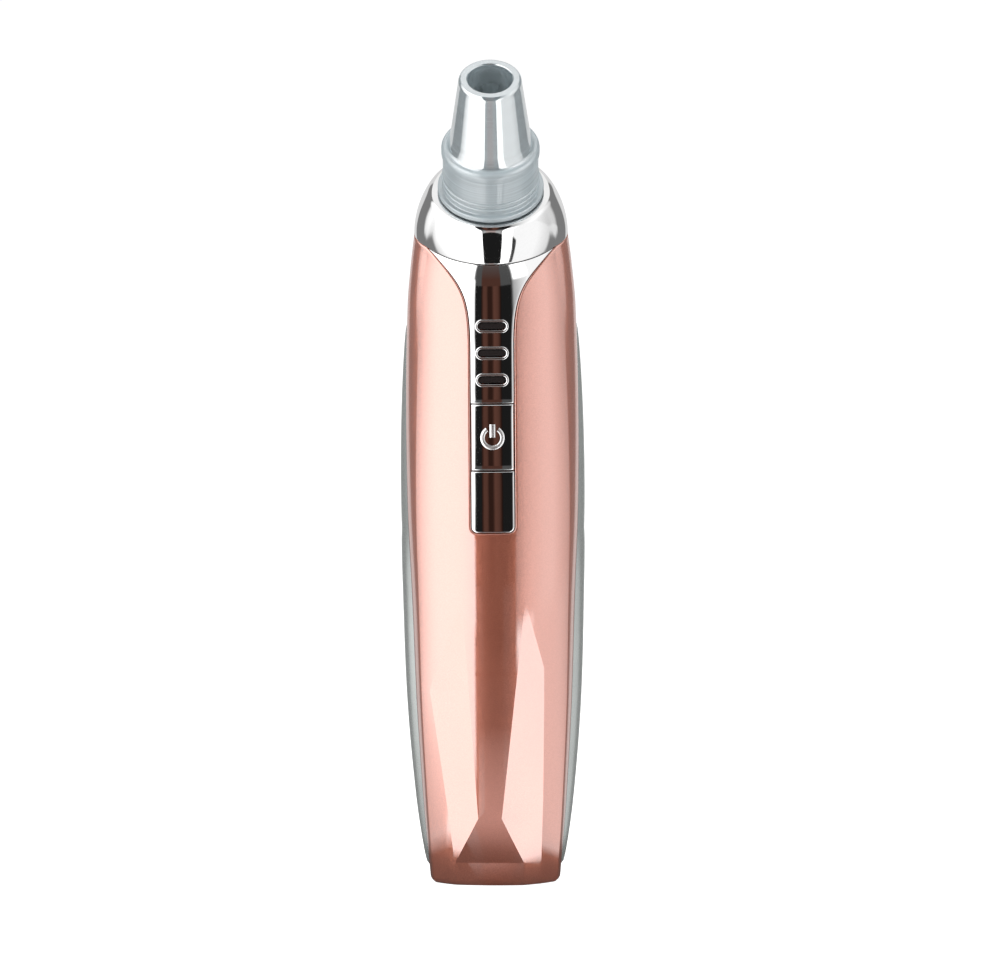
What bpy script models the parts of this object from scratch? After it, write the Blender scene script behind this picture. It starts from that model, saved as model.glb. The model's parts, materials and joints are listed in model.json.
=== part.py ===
"""Pore vacuum: a hand-held blackhead remover with a clear suction head.

Sizes are in millimetres. X points right, Y to the back and Z up. The origin is the centre
of the flat base. MM turns the millimetres into Blender's metres when a mesh is made.
"""

import math

import bmesh
import bpy
from mathutils import Matrix, Vector

MM = 0.001

# Fits between neighbouring pieces
SEAM_GAP = 0.2
SEAT_GAP = 0.3
RUN_GAP = 0.5

# Body: stations are (fraction of the seam height, size) from the base to the nose seam
SEAM_HEIGHT = 151.0
SEAM_SETBACK = -2.1
SEAM_TILT = math.radians(30.0)
SPINE_RISE = 50.0
SPINE_LEAD = 24.0
SIDE_STATIONS = (
    (0.0, 14.9), (0.058, 15.7), (0.12, 16.5), (0.27, 17.9), (0.43, 18.75), (0.58, 19.65),
    (0.733, 19.8), (0.887, 19.25), (0.951, 18.4), (1.0, 17.5),
)
CREASE_STATIONS = ((0.0, 0.7), (0.12, 1.0), (0.43, 1.55), (0.58, 2.0), (0.887, 2.9), (1.0, 3.1))
FRONT_STATIONS = (
    (0.0, 11.0), (0.13, 14.3), (0.3, 16.4), (0.5, 17.4), (0.75, 17.6), (0.88, 16.9), (1.0, 14.0),
)
BACK_STATIONS = ((0.0, 11.0), (0.13, 14.0), (0.33, 16.5), (0.57, 17.0), (0.78, 16.3), (1.0, 14.0))
CREASE_DEPTH_SHARE = 0.52
SIDE_LEAD = 1.5
BACK_POWER = 2.2
BASE_ROUND = 1.2
SPLIT_DEPTH = 2.2
SPLIT_REACH = 16.0
WALL = 2.8
FLOOR = 3.0

# Cut-diamond facets on the lower front, by corners on the body's surface (x, z)
FACET_TOP = (7.8, 67.0)
FACET_WAIST = (2.65, 16.3)
FACET_FOOT = (7.9, 4.7)
FACET_REACH = 60.0

# Silver crescents along the two sides
TRIM_BOTTOM = 2.6
TRIM_TOP = SEAM_HEIGHT - 23.0
TRIM_SPREAD = 8.5
TRIM_BULGE = 2.05
TRIM_DEPTH = 1.0
TRIM_END_SPREAD = 1.2
TRIM_END_BULGE = 0.35

# Front strip: panel, button and lower cell
PANEL_THICKNESS = 1.5
PANEL_POCKET = PANEL_THICKNESS + SEAT_GAP
STRIP_HALF_WIDTH = 4.95
STRIP_BOTTOM = SEAM_HEIGHT - 68.2
STRIP_CORNER = 1.3
SHOULDER_START = SEAM_HEIGHT - 25.8
SHOULDER_REACH = 18.3
SHOULDER_TOP = SEAM_HEIGHT + 0.8
SHOULDER_PULL_LOW = 15.5
SHOULDER_PULL_OUT = 3.6
SHOULDER_PULL_TOP = 11.7
BUTTON_BOTTOM = SEAM_HEIGHT - 54.0
BUTTON_HEIGHT = 15.2
BUTTON_THICKNESS = 1.0
BUTTON_TRAVEL = 0.5
STEM_WIDTH = 3.0
LED_COUNT = 3
LED_FIRST_HEIGHT = SEAM_HEIGHT - 33.2
LED_PITCH = 6.15
LED_WINDOW_WIDTH = 6.6
LED_WINDOW_HEIGHT = 2.0
BEZEL_WIDTH = 0.45
BEZEL_RISE = 0.3
LIGHT_PIPE_WIDTH = 3.6
LIGHT_PIPE_HEIGHT = 1.3

# Nose and suction head, along the nose axis from the head's seat
NOSE_TILT = math.radians(35.0)
NOSE_LENGTH = 11.8
NOSE_RADIUS = 13.3
NOSE_WALL = 2.0
COLLAR_RADIUS = 10.8
COLLAR_WALL = 1.4
COLLAR_HEIGHT = 13.4
FLANGE_RADIUS = 12.0
FLANGE_HEIGHT = 1.6
COLLAR_RING = 0.3
CONE_RADIUS = 9.4
TIP_RADIUS = 7.1
TIP_HEIGHT = 32.7
MOUTH_RADIUS = 5.05
CONE_BORE = 6.4
HOLDER_WALL = 2.4
HOLDER_HEIGHT = 9.0
HOLDER_FLANGE = 2.2
HOLDER_FLANGE_HEIGHT = 2.0
HOLDER_TAIL = 6.0
FILTER_THICKNESS = 3.0
FILTER_SEAT = 3.0
SEAL_WIDTH = 2.0
SEAL_CENTRE = 5.0
SEAL_DEPTH = 0.9
DUCT_RADIUS = 1.2
BARB_RADIUS = 1.9
BARB_HEIGHT = 4.5
TUBE_RADIUS = 3.0

# Control board behind the strip
BOARD_CLEARANCE = 0.6
BOARD_THICKNESS = 1.0
BOARD_HALF_WIDTH = 7.0
BOARD_BOTTOM = SEAM_HEIGHT - 77.0
BOARD_TOP = SEAM_HEIGHT - 14.0
BOARD_SCREW_X = 5.1
BOARD_SCREW_MARGIN = 5.4
BOSS_RADIUS = 1.7
SCREW_RADIUS = 0.8
SCREW_HEAD_RADIUS = 1.5
SCREW_HEAD_HEIGHT = 1.1
SWITCH_WIDTH = 4.5
SWITCH_THICKNESS = 0.9
PLUNGER_RADIUS = 1.0
LED_CHIP_WIDTH = 3.0
LED_CHIP_HEIGHT = 1.4
LED_CHIP_THICKNESS = 0.8
CHIP_SIZE = 5.0
CHIP_THICKNESS = 1.1

# Battery, its ends and the ribs that cradle it
CELL_RADIUS = 7.0
CELL_LENGTH = 50.0
CELL_BOTTOM = 18.5
CELL_SETBACK = 1.6
TAB_WIDTH = 5.0
TAB_THICKNESS = 0.4
RIB_THICKNESS = 1.6
RIB_HALF_WIDTH = 8.4

# Motor and diaphragm pump on one upright axis, above the battery
MOTOR_RADIUS = 9.6
MOTOR_BOTTOM = CELL_BOTTOM + CELL_LENGTH + 3.9
MOTOR_LENGTH = 23.5
MOTOR_WALL = 0.8
CAP_FLANGE = 1.5
CAP_PLUG = 2.4
MAGNET_THICKNESS = 1.5
MAGNET_HEIGHT = 13.0
MAGNET_ARC = math.radians(140.0)
ROTOR_HEIGHT = 12.0
SHAFT_RADIUS = 1.0
MOTOR_BOSS_RADIUS = 2.8
MOTOR_BOSS_HEIGHT = 1.4
SLEEVE_THICKNESS = 1.0
HUB_RADIUS = 4.2
HUB_HEIGHT = 5.0
HUB_BORE = 2.6
PIN_RADIUS = 0.6
PIN_OFFSET = 0.8
PIN_SEAT = 1.8
PUMP_RADIUS = 11.0
PUMP_WALL = 2.6
PUMP_FLOOR = 1.2
PUMP_DEPTH = 13.0
PLATE_THICKNESS = 1.4
PLATE_BOSS_RADIUS = 2.3
PLATE_LIFT = 7.4
CUP_COUNT = 3
CUP_RING = 4.9
CUP_RADIUS = 2.9
CUP_DEPTH = 2.6
CUP_WALL = 0.7
TAIL_RADIUS = 0.9
SHEET_THICKNESS = 1.0
VALVE_PLATE_THICKNESS = 2.4
VALVE_HOLE_RADIUS = 0.7
FLAP_THICKNESS = 0.5
COVER_HEIGHT = 4.6
PUMP_SCREW_RING = 9.7
PUMP_SCREW_RADIUS = 0.75
PUMP_SCREW_HEAD = 1.4

# Charging inlet, vents and leads
PORT_WIDTH = 7.6
PORT_DEPTH = 2.7
PORT_HEIGHT = 6.0
PORT_WALL = 0.5
PORT_SETBACK = 6.6
PORT_CLEARANCE = 0.4
PORT_LIP = 0.8
TONGUE_THICKNESS = 0.7
CHARGE_BOARD_HALF_WIDTH = 7.0
CHARGE_BOARD_TOP = 15.5
VENT_COUNT = 3
VENT_WIDTH = 9.0
VENT_HEIGHT = 1.4
VENT_PITCH = 4.0
VENT_LOWEST = SEAM_HEIGHT - 35.0
LEAD_RADIUS = 0.55
LEAD_PITCH = 2.1
LEAD_END = 2.2
LEAD_STEP = 2.8

# Mesh fineness
FRONT_STEPS = 8
SIDE_STEPS = 3
BACK_STEPS = 6
BODY_ROWS = 16
TRIM_ROWS = 14
NOSE_ROWS = 6
HEAD_STEPS = 28
ROUND_STEPS = 20
SMALL_STEPS = 12
TUBE_STEPS = 8


def metal(name, colour, roughness, metallic):
    """Return a Principled material of one plain colour."""
    material = bpy.data.materials.new(name)
    material.use_nodes = True
    shader = material.node_tree.nodes["Principled BSDF"]
    shader.inputs["Base Color"].default_value = (*colour, 1.0)
    shader.inputs["Roughness"].default_value = roughness
    shader.inputs["Metallic"].default_value = metallic
    return material


def make_materials():
    """Return the part's materials by name."""
    return {
        "rose_paint": metal("rose_paint", (0.79, 0.45, 0.37), 0.28, 0.6),
        "chrome": metal("chrome", (0.75, 0.76, 0.77), 0.06, 1.0),
        "silver": metal("silver", (0.55, 0.58, 0.60), 0.15, 1.0),
        "smoke": metal("smoke", (0.03, 0.02, 0.02), 0.08, 0.0),
        "clear_head": metal("clear_head", (0.55, 0.62, 0.67), 0.12, 0.0),
        "white_plastic": metal("white_plastic", (0.75, 0.75, 0.72), 0.45, 0.0),
        "black_plastic": metal("black_plastic", (0.03, 0.03, 0.03), 0.5, 0.0),
        "steel": metal("steel", (0.5, 0.5, 0.5), 0.3, 1.0),
        "rubber": metal("rubber", (0.08, 0.08, 0.08), 0.8, 0.0),
        "silicone": metal("silicone", (0.7, 0.72, 0.74), 0.5, 0.0),
        "foam": metal("foam", (0.6, 0.6, 0.58), 0.95, 0.0),
        "board": metal("board", (0.03, 0.18, 0.07), 0.5, 0.0),
        "ferrite": metal("ferrite", (0.12, 0.12, 0.13), 0.6, 0.3),
        "cell_wrap": metal("cell_wrap", (0.05, 0.16, 0.45), 0.4, 0.0),
        "red_lead": metal("red_lead", (0.6, 0.03, 0.03), 0.5, 0.0),
        "black_lead": metal("black_lead", (0.02, 0.02, 0.02), 0.5, 0.0),
    }


def remove_everything():
    """Empty the scene without closing the file that the script runs from."""
    for item in list(bpy.data.objects):
        bpy.data.objects.remove(item, do_unlink=True)


# The body's form


def through(stations, fraction):
    """Return the smooth curve through (place, value) stations at one place."""
    places = [station[0] for station in stations]
    values = [station[1] for station in stations]
    last = len(stations) - 1
    fraction = min(max(fraction, places[0]), places[last])
    index = max(i for i in range(last) if places[i] <= fraction)

    def slope(i):
        low, high = max(i - 1, 0), min(i + 1, last)
        return (values[high] - values[low]) / (places[high] - places[low])

    width = places[index + 1] - places[index]
    s = (fraction - places[index]) / width
    return (
        (1 + 2 * s) * (1 - s) ** 2 * values[index]
        + s * (1 - s) ** 2 * width * slope(index)
        + s * s * (3 - 2 * s) * values[index + 1]
        + s * s * (s - 1) * width * slope(index + 1)
    )


def spine(t):
    """Return (y, z, tilt) of the body's centre line, from the base (0) to the nose seam (1)."""
    low_z = SPINE_RISE
    high_y = SEAM_SETBACK + SPINE_LEAD * math.sin(SEAM_TILT)
    high_z = SEAM_HEIGHT - SPINE_LEAD * math.cos(SEAM_TILT)
    b1, b2, b3 = 3 * t * (1 - t) ** 2, 3 * t * t * (1 - t), t ** 3
    y = b2 * high_y + b3 * SEAM_SETBACK
    z = b1 * low_z + b2 * high_z + b3 * SEAM_HEIGHT
    return y, z, SEAM_TILT * t ** 3


def bisect(function, goal):
    """Return the t in 0 to 1 where a rising function reaches the goal."""
    low, high = 0.0, 1.0
    for _ in range(40):
        middle = (low + high) / 2
        if function(middle) < goal:
            low = middle
        else:
            high = middle
    return (low + high) / 2


def spine_at_height(z):
    """Return the spine's t at height z."""
    return bisect(lambda t: spine(t)[1], z)


def placed(t, x, depth):
    """Return the point of the section at t that lies at (x, depth) in its own plane."""
    y, z, tilt = spine(t)
    return Vector((x, y + depth * math.cos(tilt), z + depth * math.sin(tilt)))


def section_sizes(t):
    """Return (side, crease half-width, front, back, crease depth) of the section at t."""
    share = spine(t)[1] / SEAM_HEIGHT
    side = through(SIDE_STATIONS, share)
    crease = side - through(CREASE_STATIONS, share)
    front = through(FRONT_STATIONS, share)
    back = through(BACK_STATIONS, share)
    return side, crease, front, back, CREASE_DEPTH_SHARE * front


def front_depth(t, x):
    """Return the depth of the front face at x: a round arc between the two creases."""
    _side, crease, front, _back, crease_depth = section_sizes(t)
    drop = front - crease_depth
    radius = (crease ** 2 + drop ** 2) / (2 * drop)
    return -front + radius - math.sqrt(radius ** 2 - min(abs(x), crease) ** 2)


def back_width(t, depth):
    """Return the half-width of the body behind its widest line, at one depth."""
    side, _crease, _front, back, _crease_depth = section_sizes(t)
    share = min(max((depth + SIDE_LEAD) / (back + SIDE_LEAD), 0.0), 1.0)
    return side * (1 - share ** BACK_POWER) ** (1 / BACK_POWER)


def half_section(t):
    """Return the right half of the outline at t, from the front middle to the back middle."""
    side, crease, _front, back, crease_depth = section_sizes(t)
    points = []
    for i in range(FRONT_STEPS):
        x = crease * i / FRONT_STEPS
        points.append((x, front_depth(t, x)))
    bend = (side, -SIDE_LEAD - 0.55 * (crease_depth - SIDE_LEAD))
    for i in range(SIDE_STEPS):
        s = i / SIDE_STEPS
        x = (1 - s) ** 2 * crease + 2 * s * (1 - s) * bend[0] + s * s * side
        depth = -((1 - s) ** 2) * crease_depth + 2 * s * (1 - s) * bend[1] - s * s * SIDE_LEAD
        points.append((x, depth))
    for i in range(BACK_STEPS + 1):
        angle = math.pi / 2 * i / BACK_STEPS
        x = side * max(math.cos(angle), 0.0) ** (2 / BACK_POWER)
        depth = -SIDE_LEAD + (back + SIDE_LEAD) * math.sin(angle) ** (2 / BACK_POWER)
        points.append((x, depth))
    points[-1] = (0.0, back)
    return points


def section(t, inset=0.0):
    """Return the closed outline at t, moved inwards by the inset."""
    right = half_section(t)
    outline = right + [(-x, depth) for x, depth in reversed(right[1:-1])]
    if inset == 0.0:
        return outline
    moved = []
    count = len(outline)
    for i, (x, depth) in enumerate(outline):
        before, after = outline[i - 1], outline[(i + 1) % count]
        run = Vector((after[0] - before[0], after[1] - before[1])).normalized()
        moved.append((x - run.y * inset, depth + run.x * inset))
    return moved


def front_y(x, z):
    """Return y of the body's front face at (x, z)."""
    t = bisect(lambda s: placed(s, x, front_depth(s, x)).z, z)
    return placed(t, x, front_depth(t, x)).y


def strip_y(z):
    """Return y of the front face on the middle line at height z."""
    return front_y(0.0, z)


# Mesh makers


def finish(name, mesh_data, material, origin=(0.0, 0.0, 0.0), parent=None):
    """Turn a bmesh in millimetres into a smooth-shaded object with its origin at a point."""
    bmesh.ops.recalc_face_normals(mesh_data, faces=mesh_data.faces)
    mesh_data.transform(Matrix.Scale(MM, 4) @ Matrix.Translation(-Vector(origin)))
    mesh = bpy.data.meshes.new(name)
    mesh_data.to_mesh(mesh)
    mesh_data.free()
    mesh.shade_smooth()
    mesh.set_sharp_from_angle(angle=math.radians(30.0))
    item = bpy.data.objects.new(name, mesh)
    item.location = Vector(origin) * MM
    if material is not None:
        mesh.materials.append(material)
    if parent is not None:
        item.parent = parent
    bpy.context.scene.collection.objects.link(item)
    return item


def guide(item):
    """Mark an object as a cutter or a guide, which is no piece of the part."""
    item.hide_render = True
    item.display_type = "WIRE"
    return item


def boolean(item, other, operation):
    """Add a live Boolean to an object."""
    modifier = item.modifiers.new(other.name, "BOOLEAN")
    modifier.operation = operation
    modifier.solver = "EXACT"
    modifier.object = other
    return item


def loft(rings):
    """Return a bmesh that runs through rings of points, closed by a cap at each end."""
    data = bmesh.new()
    rows = [[data.verts.new(point) for point in ring] for ring in rings]
    count = len(rings[0])
    for low, high in zip(rows, rows[1:]):
        for i in range(count):
            j = (i + 1) % count
            data.faces.new((low[i], low[j], high[j], high[i]))
    data.faces.new(list(reversed(rows[0])))
    data.faces.new(rows[-1])
    return data


def turned(profile, steps=ROUND_STEPS):
    """Return a bmesh turned about Z from (radius, height) points.

    A profile that starts and ends on the axis makes a solid with flat ends, and any other
    profile is closed into a ring.
    """
    rings = [
        [
            (
                radius * math.sin(2 * math.pi * i / steps),
                -radius * math.cos(2 * math.pi * i / steps),
                height,
            )
            for i in range(steps)
        ]
        for radius, height in profile
        if radius > 0.0
    ]
    if len(rings) < len(profile):
        return loft(rings)
    data = bmesh.new()
    rows = [[data.verts.new(point) for point in ring] for ring in rings]
    for low, high in zip(rows, rows[1:] + rows[:1]):
        for i in range(steps):
            j = (i + 1) % steps
            data.faces.new((low[i], low[j], high[j], high[i]))
    return data


def extruded(outline, low, high, axis):
    """Return a bmesh of an outline drawn square to X, Y or Z and pulled from low to high."""
    def point(a, b, along):
        if axis == "X":
            return (along, a, b)
        if axis == "Y":
            return (a, along, b)
        return (a, b, along)

    return loft([[point(a, b, low) for a, b in outline], [point(a, b, high) for a, b in outline]])


def block(x, y, z):
    """Return a bmesh box from three (low, high) pairs."""
    outline = ((x[0], y[0]), (x[1], y[0]), (x[1], y[1]), (x[0], y[1]))
    return extruded(outline, z[0], z[1], "Z")


def around(centre, half):
    """Return the (low, high) pair that lies evenly about a centre."""
    return centre - half, centre + half


def arc(centre, radius, start, end, steps):
    """Return points of a round arc, angles in degrees."""
    points = []
    for i in range(steps + 1):
        angle = math.radians(start + (end - start) * i / steps)
        points.append((centre[0] + radius * math.cos(angle), centre[1] + radius * math.sin(angle)))
    return points


def pill(width, height, centre, steps=6):
    """Return the outline of a slot with round ends, lying along its width."""
    reach = (width - height) / 2
    right = arc((centre[0] + reach, centre[1]), height / 2, -90, 90, steps)
    left = arc((centre[0] - reach, centre[1]), height / 2, 90, 270, steps)
    return right + left


def upright(x, y, radius, low, high, steps=SMALL_STEPS):
    """Return a bmesh cylinder that stands at (x, y)."""
    data = turned([(0.0, low), (radius, low), (radius, high), (0.0, high)], steps)
    data.transform(Matrix.Translation((x, y, 0.0)))
    return data


def level(x, z, radius, low, high, steps=SMALL_STEPS):
    """Return a bmesh cylinder that lies along Y at (x, z)."""
    return extruded(arc((x, z), radius, 0, 360 * (1 - 1 / steps), steps - 1), low, high, "Y")


def merged(parts):
    """Return one bmesh that holds several bmeshes."""
    whole = bmesh.new()
    for part in parts:
        mesh = bpy.data.meshes.new("merge")
        part.to_mesh(mesh)
        part.free()
        whole.from_mesh(mesh)
        bpy.data.meshes.remove(mesh)
    return whole


def cutter(name, data, parent=None):
    """Make a hidden cutter from a bmesh."""
    return guide(finish(name, data, None, parent=parent))


# Body, shells and trims


def body_rings(inset, low, extend, rows=BODY_ROWS):
    """Return the rings of the body's form, moved in by the inset, from a height to the seam."""
    start = spine_at_height(low) if low > 0.0 else 0.0
    rings = []
    for i in range(rows + 1):
        t = start + (1.0 - start) * i / rows
        rings.append([placed(t, x, depth) for x, depth in section(t, inset)])
    if extend:
        rise = Vector((0.0, -math.sin(SEAM_TILT), math.cos(SEAM_TILT))) * extend
        rings.append([point + rise for point in rings[-1]])
    return rings


def body_form():
    """Return the rings of the whole outer form, with its rounded foot."""
    rings = []
    steps = 3
    for i in range(steps):
        angle = math.pi / 2 * i / steps
        inset = BASE_ROUND * (1 - math.sin(angle))
        height = BASE_ROUND * (1 - math.cos(angle))
        t = spine_at_height(height) if i else 0.0
        rings.append([placed(t, x, depth) for x, depth in section(t, inset)])
    return rings + body_rings(0.0, BASE_ROUND, 0.0)


def half_space(front):
    """Return the block that holds the front or the rear half of the body."""
    shift = -SEAM_GAP / 2 if front else SEAM_GAP / 2
    line = []
    for i in range(BODY_ROWS + 1):
        point = placed(i / BODY_ROWS, 0.0, SPLIT_DEPTH + shift)
        line.append((point.y, point.z))
    reach = SPLIT_REACH
    line.insert(0, (line[0][0], -reach))
    last = line[-1]
    line.append((last[0] - reach * math.sin(SEAM_TILT), last[1] + reach * math.cos(SEAM_TILT)))
    far = -FACET_REACH if front else FACET_REACH
    outline = line + [(far, line[-1][1]), (far, line[0][1])]
    return extruded(outline, *around(0.0, FACET_REACH), "X")


def facet_block(corners, depth):
    """Return the block in front of the plane through three surface points, moved in by depth."""
    a, b, c = (Vector((x, front_y(x, z), z)) for x, z in corners)
    normal = (b - a).cross(c - a).normalized()
    if normal.y > 0:
        normal = -normal
    across = normal.cross(Vector((0.0, 0.0, 1.0))).normalized()
    up = across.cross(normal).normalized()
    if up.z < 0:
        up = -up
    middle = Vector((a.x, a.y, 0.0)) + normal * ((a - Vector((a.x, a.y, 0.0))).dot(normal))
    middle = middle - normal * depth
    rings = []
    for reach in (0.0, FACET_REACH / 2):
        rings.append([
            middle + across * side + up * height + normal * reach
            for side, height in (
                (-FACET_REACH, -FACET_REACH), (FACET_REACH, -FACET_REACH),
                (FACET_REACH, FACET_REACH * 1.5), (-FACET_REACH, FACET_REACH * 1.5),
            )
        ])
    return loft(rings)


def facet_blocks(depth):
    """Return the three facet cutters: left, right and the small one at the foot."""
    blocks = []
    for side in (-1, 1):
        corners = [(side * x, z) for x, z in (FACET_TOP, FACET_WAIST, FACET_FOOT)]
        blocks.append(facet_block(corners, depth))
    waist, foot = FACET_WAIST, FACET_FOOT
    blocks.append(facet_block([(-foot[0], foot[1]), foot, waist], depth))
    return blocks


def trim_rings(side, grow):
    """Return the rings of one silver crescent, grown on every side."""
    rings = []
    for i in range(TRIM_ROWS + 1):
        s = i / TRIM_ROWS
        height = TRIM_BOTTOM - grow + (TRIM_TOP - TRIM_BOTTOM + 2 * grow) * s
        t = spine_at_height(height)
        swell = math.sin(math.pi * s) ** 0.6
        spread = TRIM_END_SPREAD + (TRIM_SPREAD - TRIM_END_SPREAD) * swell
        bulge = TRIM_END_BULGE + (TRIM_BULGE - TRIM_END_BULGE) * swell
        low, high = SPLIT_DEPTH - 0.45 * spread - grow, SPLIT_DEPTH + 0.55 * spread + grow
        ring = []
        steps = 8
        for k in range(steps + 1):
            share = k / steps
            depth = low + (high - low) * share
            x = back_width(t, depth) + (bulge + grow) * math.sin(math.pi * share)
            ring.append((x, depth))
        ring.append((back_width(t, high) - TRIM_DEPTH - grow, high))
        ring.append((back_width(t, low) - TRIM_DEPTH - grow, low))
        rings.append([placed(t, side * x, depth) for x, depth in ring])
    return rings


def shoulder_curve(grow):
    """Return the right edge of the panel from the strip up to the seam, as (x, z)."""
    start = (STRIP_HALF_WIDTH, SHOULDER_START)
    pull = (STRIP_HALF_WIDTH, SHOULDER_START + SHOULDER_PULL_LOW)
    bend = (STRIP_HALF_WIDTH + SHOULDER_PULL_OUT, SHOULDER_TOP - SHOULDER_PULL_TOP)
    end = (SHOULDER_REACH, SHOULDER_TOP)
    points = []
    steps = 10
    for i in range(steps + 1):
        s = i / steps
        weights = ((1 - s) ** 3, 3 * s * (1 - s) ** 2, 3 * s * s * (1 - s), s ** 3)
        x = sum(w * p[0] for w, p in zip(weights, (start, pull, bend, end)))
        z = sum(w * p[1] for w, p in zip(weights, (start, pull, bend, end)))
        points.append((x + grow, z - grow * s))
    return points


def mirrored(right):
    """Return the closed outline of which the right half, bottom to top, is given."""
    return right + [(-x, z) for x, z in reversed(right)]


def shoulder_and_top(grow):
    """Return the right edge of the panel from the strip up to above the seam."""
    far = SHOULDER_REACH + 2 * WALL
    return shoulder_curve(grow) + [(far, SHOULDER_TOP), (far, SEAM_HEIGHT + NOSE_LENGTH)]


def foot_corner(grow):
    """Return the strip's round bottom corner on the right."""
    half = STRIP_HALF_WIDTH + grow
    low = STRIP_BOTTOM - grow
    return arc((half - STRIP_CORNER, low + STRIP_CORNER), STRIP_CORNER, -90, 0, 4)


def panel_outline(bottom):
    """Return the T shape of the chrome panel, seen from the front."""
    return mirrored([(STRIP_HALF_WIDTH, bottom)] + shoulder_and_top(0.0))


def foot_outline(top):
    """Return the lower cell of the strip, with its round bottom corners."""
    return mirrored(foot_corner(0.0) + [(STRIP_HALF_WIDTH, top)])


def skin_piece(name, outline, thickness_guide, guides, material, origin=(0.0, 0.0, 0.0)):
    """Make a piece of the body's own surface inside an outline seen from the front."""
    item = finish(name, extruded(outline, -FACET_REACH, FACET_REACH / 2, "Y"), material, origin)
    boolean(item, guides["body"], "INTERSECT")
    boolean(item, guides["front_half"], "INTERSECT")
    boolean(item, guides[thickness_guide], "DIFFERENCE")
    return item


def led_heights():
    """Return the heights of the light windows, lowest first."""
    return [LED_FIRST_HEIGHT + i * LED_PITCH for i in range(LED_COUNT)]


def button_middle():
    """Return the height of the button's middle."""
    return BUTTON_BOTTOM + BUTTON_HEIGHT / 2


def board_face():
    """Return y of the control board's front face, clear of the shell at its long edges."""
    rows = 8
    heights = [BOARD_BOTTOM + (BOARD_TOP - BOARD_BOTTOM) * i / rows for i in range(rows + 1)]
    return max(front_y(BOARD_HALF_WIDTH, z) for z in heights) + WALL + BOARD_CLEARANCE


def board_back():
    """Return y of the control board's back face."""
    return board_face() + BOARD_THICKNESS


def board_screw_places():
    """Return (x, z) of the control board's screws."""
    heights = (BOARD_BOTTOM + BOARD_SCREW_MARGIN, BOARD_TOP - BOARD_SCREW_MARGIN)
    return [(side * BOARD_SCREW_X, z) for z in heights for side in (-1, 1)]


def pump_y():
    """Return y of the motor and pump axis, just behind the control board."""
    return board_back() + CHIP_THICKNESS + 2 * SEAT_GAP + PUMP_RADIUS


def cell_y():
    """Return y of the battery's axis."""
    return CELL_SETBACK


def rib_boxes(front):
    """Return the ribs that cradle the battery and, at the rear, the motor."""
    boxes = []
    heights = [CELL_BOTTOM + CELL_LENGTH * share for share in (0.2, 0.8)]
    sleeve = MOTOR_RADIUS + SEAT_GAP + SLEEVE_THICKNESS
    seats = [(z, cell_y(), CELL_RADIUS + SEAT_GAP) for z in heights]
    if not front:
        motor_top = MOTOR_BOTTOM + MOTOR_LENGTH
        seats += [(z, pump_y(), sleeve + SEAT_GAP) for z in (MOTOR_BOTTOM + 6.0, motor_top - 5.0)]
    for z, y, radius in seats:
        angles = (200, 340) if front else (20, 160)
        hollow = arc((0.0, y), radius, *angles, SMALL_STEPS)
        hollow = [(x, depth) for x, depth in hollow if abs(x) < RIB_HALF_WIDTH - 0.3]
        edge = hollow[0][1]
        far = -FACET_REACH if front else FACET_REACH
        side = -1 if front else 1
        outline = [(side * RIB_HALF_WIDTH, edge)] + hollow + [(-side * RIB_HALF_WIDTH, edge)]
        outline += [(-side * RIB_HALF_WIDTH, far), (side * RIB_HALF_WIDTH, far)]
        boxes.append(extruded(outline, *around(z, RIB_THICKNESS / 2), "Z"))
    return boxes


def make_guides():
    """Make the hidden forms that several pieces are cut by."""
    guides = {
        "body": cutter("guide_body", loft(body_form())),
        "front_half": cutter("guide_front_half", half_space(True)),
        "rear_half": cutter("guide_rear_half", half_space(False)),
        "panel": cutter("guide_panel_back", loft(body_rings(PANEL_THICKNESS, FLOOR, FLOOR))),
        "button": cutter("guide_button_back", loft(body_rings(BUTTON_THICKNESS, FLOOR, FLOOR))),
        "pocket": cutter("guide_pocket_floor", loft(body_rings(PANEL_POCKET, FLOOR, FLOOR))),
    }
    for side, name in ((-1, "left"), (1, "right")):
        channel = cutter(f"guide_channel_{name}", loft(trim_rings(side, SEAM_GAP)))
        guides[f"channel_{name}"] = channel
    for name, depth in (("facet", 0.0), ("inner_facet", WALL)):
        for i, data in enumerate(facet_blocks(depth)):
            guides[f"{name}_{i}"] = cutter(f"guide_{name}_{i}", data)
    for name, front in (("front", True), ("rear", False)):
        cavity = cutter(f"guide_{name}_cavity", loft(body_rings(WALL, FLOOR, WALL)))
        for i in range(3):
            boolean(cavity, guides[f"inner_facet_{i}"], "DIFFERENCE")
        keep = rib_boxes(front)
        if front:
            face = board_face() - SEAT_GAP
            keep += [level(x, z, BOSS_RADIUS, -FACET_REACH, face) for x, z in board_screw_places()]
        boolean(cavity, cutter(f"guide_{name}_ribs", merged(keep)), "DIFFERENCE")
        guides[f"{name}_cavity"] = cavity
    outline = mirrored(foot_corner(SEAM_GAP) + shoulder_and_top(SEAM_GAP))
    pocket = cutter("guide_panel_pocket", extruded(outline, -FACET_REACH, FACET_REACH, "Y"))
    boolean(pocket, guides["pocket"], "DIFFERENCE")
    guides["panel_pocket"] = pocket
    return guides


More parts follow.
